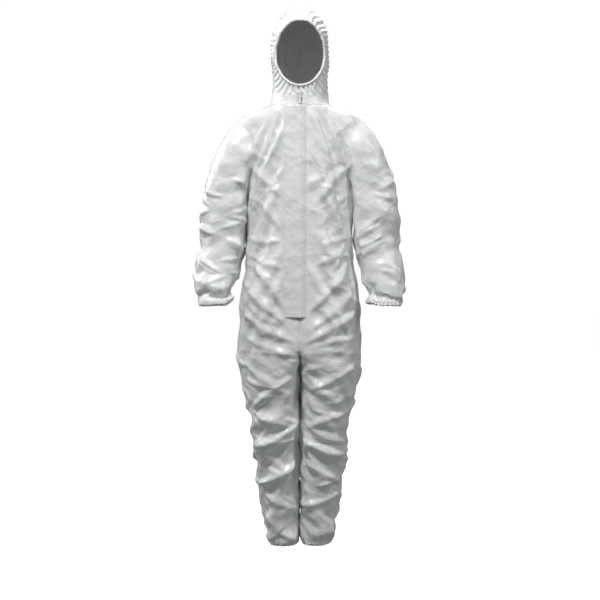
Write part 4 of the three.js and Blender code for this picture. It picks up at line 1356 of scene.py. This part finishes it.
def coil_turn(side):
    """One turn of the coil: a flat loop of wire round the tape's edge."""
    verts, faces = [], []
    steps, sides = 12, 6
    for i in range(steps):
        turn = 2 * math.pi * i / steps
        centre = np.array([side * (0.0014 * math.cos(turn)), 0.00085 * math.sin(turn), 0.00028 * math.sin(turn + 0.6)])
        outward = np.array([math.cos(turn) * side, math.sin(turn), 0])
        for j in range(sides):
            a = 2 * math.pi * j / sides
            verts.append(centre + 0.00032 * (outward * math.cos(a) + np.array([0, 0, 1]) * math.sin(a)))
    for i in range(steps):
        for j in range(sides):
            k, m = (j + 1) % sides, (i + 1) % steps
            faces.append((i * sides + j, i * sides + k, m * sides + k, m * sides + j))
    turn = new_object("coil_turn", verts, faces)
    right_way_out(turn)
    return turn


def make_coils():
    made = {}
    for name, side in SIDES.items():
        item = coil_turn(side)
        mesh = bpy.data.meshes.new("coil_line")
        x = side * 0.00195
        start = 0.0007 if side > 0 else 0.0
        mesh.from_pydata([(x, TAPE_MIDDLE, start), (x, TAPE_MIDDLE, ZIP_LENGTH - 0.001 + start)], [(0, 1)], [])
        line = bpy.data.objects.new("coil_line", mesh)
        bpy.context.collection.objects.link(line)
        coil = on_zip(repeat_along(line, item, NYLON, 0.0014, f"coil_chain_{name}"))
        delete(item)
        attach(coil, "torso")
        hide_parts(f"zip_coil_{name}")
        made[coil.name] = coil
    return made


def make_tapes():
    made = {}
    for name, side in SIDES.items():
        columns, rows = 9, 220
        verts = []
        for layer in (0.0004, -0.0004):
            for i in range(rows + 1):
                z = ZIP_LENGTH * i / rows
                for j in range(columns + 1):
                    t = j / columns
                    x = side * (0.0026 + 0.0125 * t)
                    wave = 0.00025 * math.sin(z * 160 + side) * t
                    cord = 0.0003 * math.exp(-((t - 0.12) / 0.1) ** 2)
                    verts.append((x, TAPE_MIDDLE + layer + wave + math.copysign(cord, layer), z))
        made[name] = tape = sheet_between(f"woven_tape_{name}", verts, rows, columns)
        on_zip(tape)
        tape.data.materials.append(TAPE)
        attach(tape, "torso")
        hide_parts(f"zip_tape_{name}")
    return made


def sheet_between(name, verts, rows, columns):
    """Closes two grids of points, one above the other, into one thin piece."""
    count = (rows + 1) * (columns + 1)

    def at(i, j, layer=0):
        return layer * count + i * (columns + 1) + j

    faces = []
    for i in range(rows):
        for j in range(columns):
            faces.append((at(i, j), at(i, j + 1), at(i + 1, j + 1), at(i + 1, j)))
            faces.append((at(i, j, 1), at(i + 1, j, 1), at(i + 1, j + 1, 1), at(i, j + 1, 1)))
    for i in range(rows):
        for j in (0, columns):
            faces.append((at(i, j), at(i + 1, j), at(i + 1, j, 1), at(i, j, 1)))
    for j in range(columns):
        for i in (0, rows):
            faces.append((at(i, j), at(i, j + 1), at(i, j + 1, 1), at(i, j, 1)))
    obj = new_object(name, verts, faces)
    right_way_out(obj)
    return obj


def softened(node, name, width, look, body):
    """A moulded part with its sharp edges broken, in place of the CAD node."""
    source = frame["nodes"][node] if isinstance(frame["nodes"], dict) else bpy.data.objects[node]
    obj = source.copy()
    obj.data = source.data.copy()
    obj.name = name
    obj.parent = None
    for key in list(obj.keys()):
        del obj[key]
    bpy.context.collection.objects.link(obj)
    bm = bmesh.new()
    bm.from_mesh(obj.data)
    bmesh.ops.remove_doubles(bm, verts=bm.verts[:], dist=1e-6)
    bmesh.ops.dissolve_limit(bm, angle_limit=0.02, verts=bm.verts[:], edges=bm.edges[:])
    bm.to_mesh(obj.data)
    bm.free()
    bevel = obj.modifiers.new("bevel", "BEVEL")
    bevel.width = width
    bevel.segments = 2
    bevel.limit_method = "ANGLE"
    evaluated(obj)
    obj.data.materials.clear()
    obj.data.materials.append(look)
    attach(obj, body)
    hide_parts(node)
    return obj


FLAP_PROFILE = np.array([(16, -0.7), (12.5, -0.9), (9.5, -1.6), (6, -5.4), (0, -6.6), (-6, -6.2), (-12, -4.6),
                         (-18, -3.2), (-26, -2.0), (-34, -1.4), (-42, -1.3), (-48, -1.3)])


def make_storm_flap(needle):
    """A double strip of cloth over the zip: sewn down on the wearer's left, loose on the right."""
    columns, rows = 44, 170
    across = np.linspace(16, -48, columns + 1)
    lift = np.interp(across, FLAP_PROFILE[::-1, 0], FLAP_PROFILE[::-1, 1])
    for _ in range(3):
        lift[1:-1] = 0.5 * lift[1:-1] + 0.25 * (lift[2:] + lift[:-2])
    top, under = [], []
    for i in range(rows + 1):
        z = FLAP_TOP * i / rows
        for j, (x, y) in enumerate(zip(across, lift)):
            p = Vector((x * 0.001, y * 0.001, z))
            dent = noise.voronoi(Vector((x * 0.02, 0.3, z * 22)), distance_metric="MANHATTAN")[0][0] - 0.45
            fine = noise.voronoi(Vector((x * 0.05, 1.3, z * 55)), distance_metric="MANHATTAN")[0][0] - 0.45
            loose = smooth_step(16 - x, 6, 40)
            out = 0.0024 * dent + 0.0007 * fine
            hem = 0.0004 * math.exp(-((x + 47) / 2) ** 2)
            seam = -0.0005 * math.exp(-((x - 12.5) / 1.2) ** 2) - 0.0003 * math.exp(-((x + 43.5) / 1.0) ** 2)
            p.y -= 0.0006 + abs(out) * (0.35 + 0.65 * float(loose)) + hem + seam
            top.append(p)
            under.append(Vector((p.x, y * 0.001 + 0.0001, z)))
    flap = on_zip(sheet_between("storm_flap_cloth", [tuple(v) for v in top + under], rows, columns))
    flap.data.materials.append(LAMINATE)
    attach(flap, "storm_flap")
    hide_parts("storm_flap")
    made = {"flap": flap}
    for name, column in (("sewn_edge", 2), ("loose_edge", columns - 3)):
        points = [tuple(top[i * (columns + 1) + column] + Vector((0, -0.0002, 0))) for i in range(1, rows)]
        mesh = bpy.data.meshes.new("flap_line")
        mesh.from_pydata(points, [(i, i + 1) for i in range(len(points) - 1)], [])
        line = bpy.data.objects.new("flap_line", mesh)
        bpy.context.collection.objects.link(line)
        sewn = on_zip(repeat_along(line, needle, THREAD, STITCH_SPACING, f"stitches_flap_{name}"))
        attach(sewn, "storm_flap")
        made[name] = sewn
    return made


def make_adhesive():
    columns, rows = 10, 120
    verts = []
    for layer in (-0.0008, -0.0003):
        for i in range(rows + 1):
            z = 0.006 + (FLAP_TOP - 0.012) * i / rows
            for j in range(columns + 1):
                t = j / columns
                x = -0.046 + 0.012 * t
                ripple = 0.00012 * math.sin(z * 210 + 3 * t) * math.sin(math.pi * t)
                verts.append((x, layer + ripple, z))
    strip = on_zip(sheet_between("adhesive_strip", verts, rows, columns))
    strip.data.materials.append(RELEASE)
    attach(strip, "storm_flap")
    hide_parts("flap_adhesive")
    return strip


def make_label(needle):
    low, high = (Vector(c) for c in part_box("care_label"))
    columns, rows = 20, 28
    y = (low.y + high.y) / 2
    verts = []
    for layer in (0.0002, -0.0002):
        for i in range(rows + 1):
            v = i / rows
            for j in range(columns + 1):
                u = j / columns
                curl = 0.0022 * (1 - v) ** 2 * math.cos(2.2 * (u - 0.5)) + 0.0004 * math.sin(7 * u + 3 * v) * (1 - v)
                fold = math.copysign(0.0002, layer) * (v < 0.06 or v > 0.95)
                verts.append((low.x + (high.x - low.x) * u, y + layer + fold - curl * 0.5, low.z + (high.z - low.z) * v))
    label = sheet_between("blank_label", verts, rows, columns)
    label.data.materials.append(SATIN)
    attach(label, "torso")
    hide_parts("care_label")
    mesh = bpy.data.meshes.new("label_line")
    z = high.z - 0.003
    mesh.from_pydata([(low.x + 0.002, y - 0.0006, z), (high.x - 0.002, y - 0.0006, z)], [(0, 1)], [])
    line = bpy.data.objects.new("label_line", mesh)
    bpy.context.collection.objects.link(line)
    sewn = repeat_along(line, needle, THREAD, STITCH_SPACING, "stitches_label")
    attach(sewn, "torso")
    return {"label": label, "sewn": sewn}


# ---------------------------------------------------------------- room, light and camera

def area_light(name, place_at, aim, size, watts, colour=(1, 1, 1)):
    lamp = bpy.data.lights.new(name, "AREA")
    lamp.shape = "RECTANGLE"
    lamp.size, lamp.size_y = size
    lamp.energy = watts
    lamp.color = colour
    obj = bpy.data.objects.new(name, lamp)
    obj.location = place_at
    obj.rotation_euler = (Vector(aim) - Vector(place_at)).to_track_quat("-Z", "Y").to_euler()
    bpy.context.collection.objects.link(obj)


def glowing(name, glow, grey):
    """A stage finish that stays pale in the frame. Its glow doesn't light the suit."""
    return finish(name, lambda n: {"Base_Color": two_tone(n, grain(n, place(n), 0.8), (grey, grey, grey),
                                                          (grey + 0.02, grey + 0.02, grey + 0.02))},
                  Roughness=0.9, Emission_Color=(1, 1, 1, 1), Emission_Strength=glow)


def set_the_room():
    floor_z = -SHOULDER / 1000 - 0.06
    floor = new_object("floor", [(-9, -9, floor_z), (9, -9, floor_z), (9, 9, floor_z), (-9, 9, floor_z)], [(0, 1, 2, 3)])
    floor.data.materials.append(glowing("pale_floor", 0.95, 0.3))
    rings, sides = 12, 32
    verts = [(9 * math.cos(2 * math.pi * j / sides) * math.cos(0.13 * i), 9 * math.sin(2 * math.pi * j / sides)
              * math.cos(0.13 * i), floor_z - 0.1 + 9 * math.sin(0.13 * i)) for i in range(rings + 1) for j in range(sides)]
    faces = [(i * sides + j, i * sides + (j + 1) % sides, (i + 1) * sides + (j + 1) % sides, (i + 1) * sides + j)
             for i in range(rings) for j in range(sides)]
    backdrop = new_object("backdrop", verts, faces)
    backdrop.data.materials.append(glowing("white_backdrop", 1.0, 0.1))
    for piece in (floor, backdrop):
        piece.visible_diffuse = piece.visible_glossy = piece.visible_shadow = False
    world = bpy.data.worlds.new("studio")
    world.use_nodes = True
    world.node_tree.nodes["Background"].inputs["Color"].default_value = (0.95, 0.98, 1, 1)
    world.node_tree.nodes["Background"].inputs["Strength"].default_value = 0.2
    bpy.context.scene.world = world
    bpy.context.scene.view_settings.view_transform = "Standard"
    area_light("key", (-0.7, -1.7, 2.1), (0, 0, -0.2), (0.5, 0.5), 72)
    area_light("side", (2.1, -1.2, 0.9), (0, 0, -0.3), (0.3, 1.2), 14)
    area_light("rim", (-2.1, 0.4, 0.6), (0, 0, -0.3), (0.3, 1.2), 12)
    area_light("back", (0.7, 1.9, 1.9), (0, 0, -0.3), (0.5, 0.5), 58)
    area_light("back_side", (-1.9, 1.5, 0.4), (0, 0, -0.4), (0.3, 1.2), 12)
    camera = bpy.data.cameras.new("camera")
    camera.sensor_width = 36
    distance = 3.2
    camera.lens = 36 * distance / 1.74
    camera.shift_y = -0.148
    obj = bpy.data.objects.new("camera", camera)
    obj.location = (0, -distance - 0.13, -0.283)
    obj.rotation_euler = (math.pi / 2, 0, 0)
    bpy.context.collection.objects.link(obj)
    bpy.context.scene.camera = obj


# ---------------------------------------------------------------- the whole suit

def declare_sheets(panels, edges):
    """Goes through the pieces of cloth and gathers what is sewn on each, without using it."""
    sewn_on = {
        "hood_left": [edges["face_rim"]],
        **{f"sleeve_lower_back_{side}": [edges[f"cuff_hem_{side}"]] for side in SIDES},
        **{f"leg_lower_back_{side}": [edges[f"ankle_hem_{side}"]] for side in SIDES},
    }
    for name, piece in panels.items():
        if name.startswith("stitches"):
            continue
        with_pieces = sewn_on.get(name, []) + [panels[key] for key in (f"stitches_{name}",) if key in panels]


def make_suit():
    skin = sew_suit()
    suit = crumple_suit(skin)
    delete(skin)
    needle = stitch()
    panels = make_panels(suit, needle)
    edges = make_edges(suit)
    band = make_waist_elastic(suit)
    make_coils()
    tapes = make_tapes()
    flap = make_storm_flap(needle)
    make_adhesive()
    label = make_label(needle)
    declare_sheets(panels, edges)
    softened("zip_slider", "slider_body", 0.0003, NYLON, "zip_slider")
    softened("zip_pull", "pull_tab", 0.00025, NYLON, "zip_pull")
    softened("zip_bottom_stop", "bottom_stop", 0.0003, NYLON, "torso")
    for side in SIDES:
        softened(f"zip_top_stop_{side}", f"top_stop_{side}", 0.0003, NYLON, "torso")
    delete(needle)


make_suit()
set_the_room()
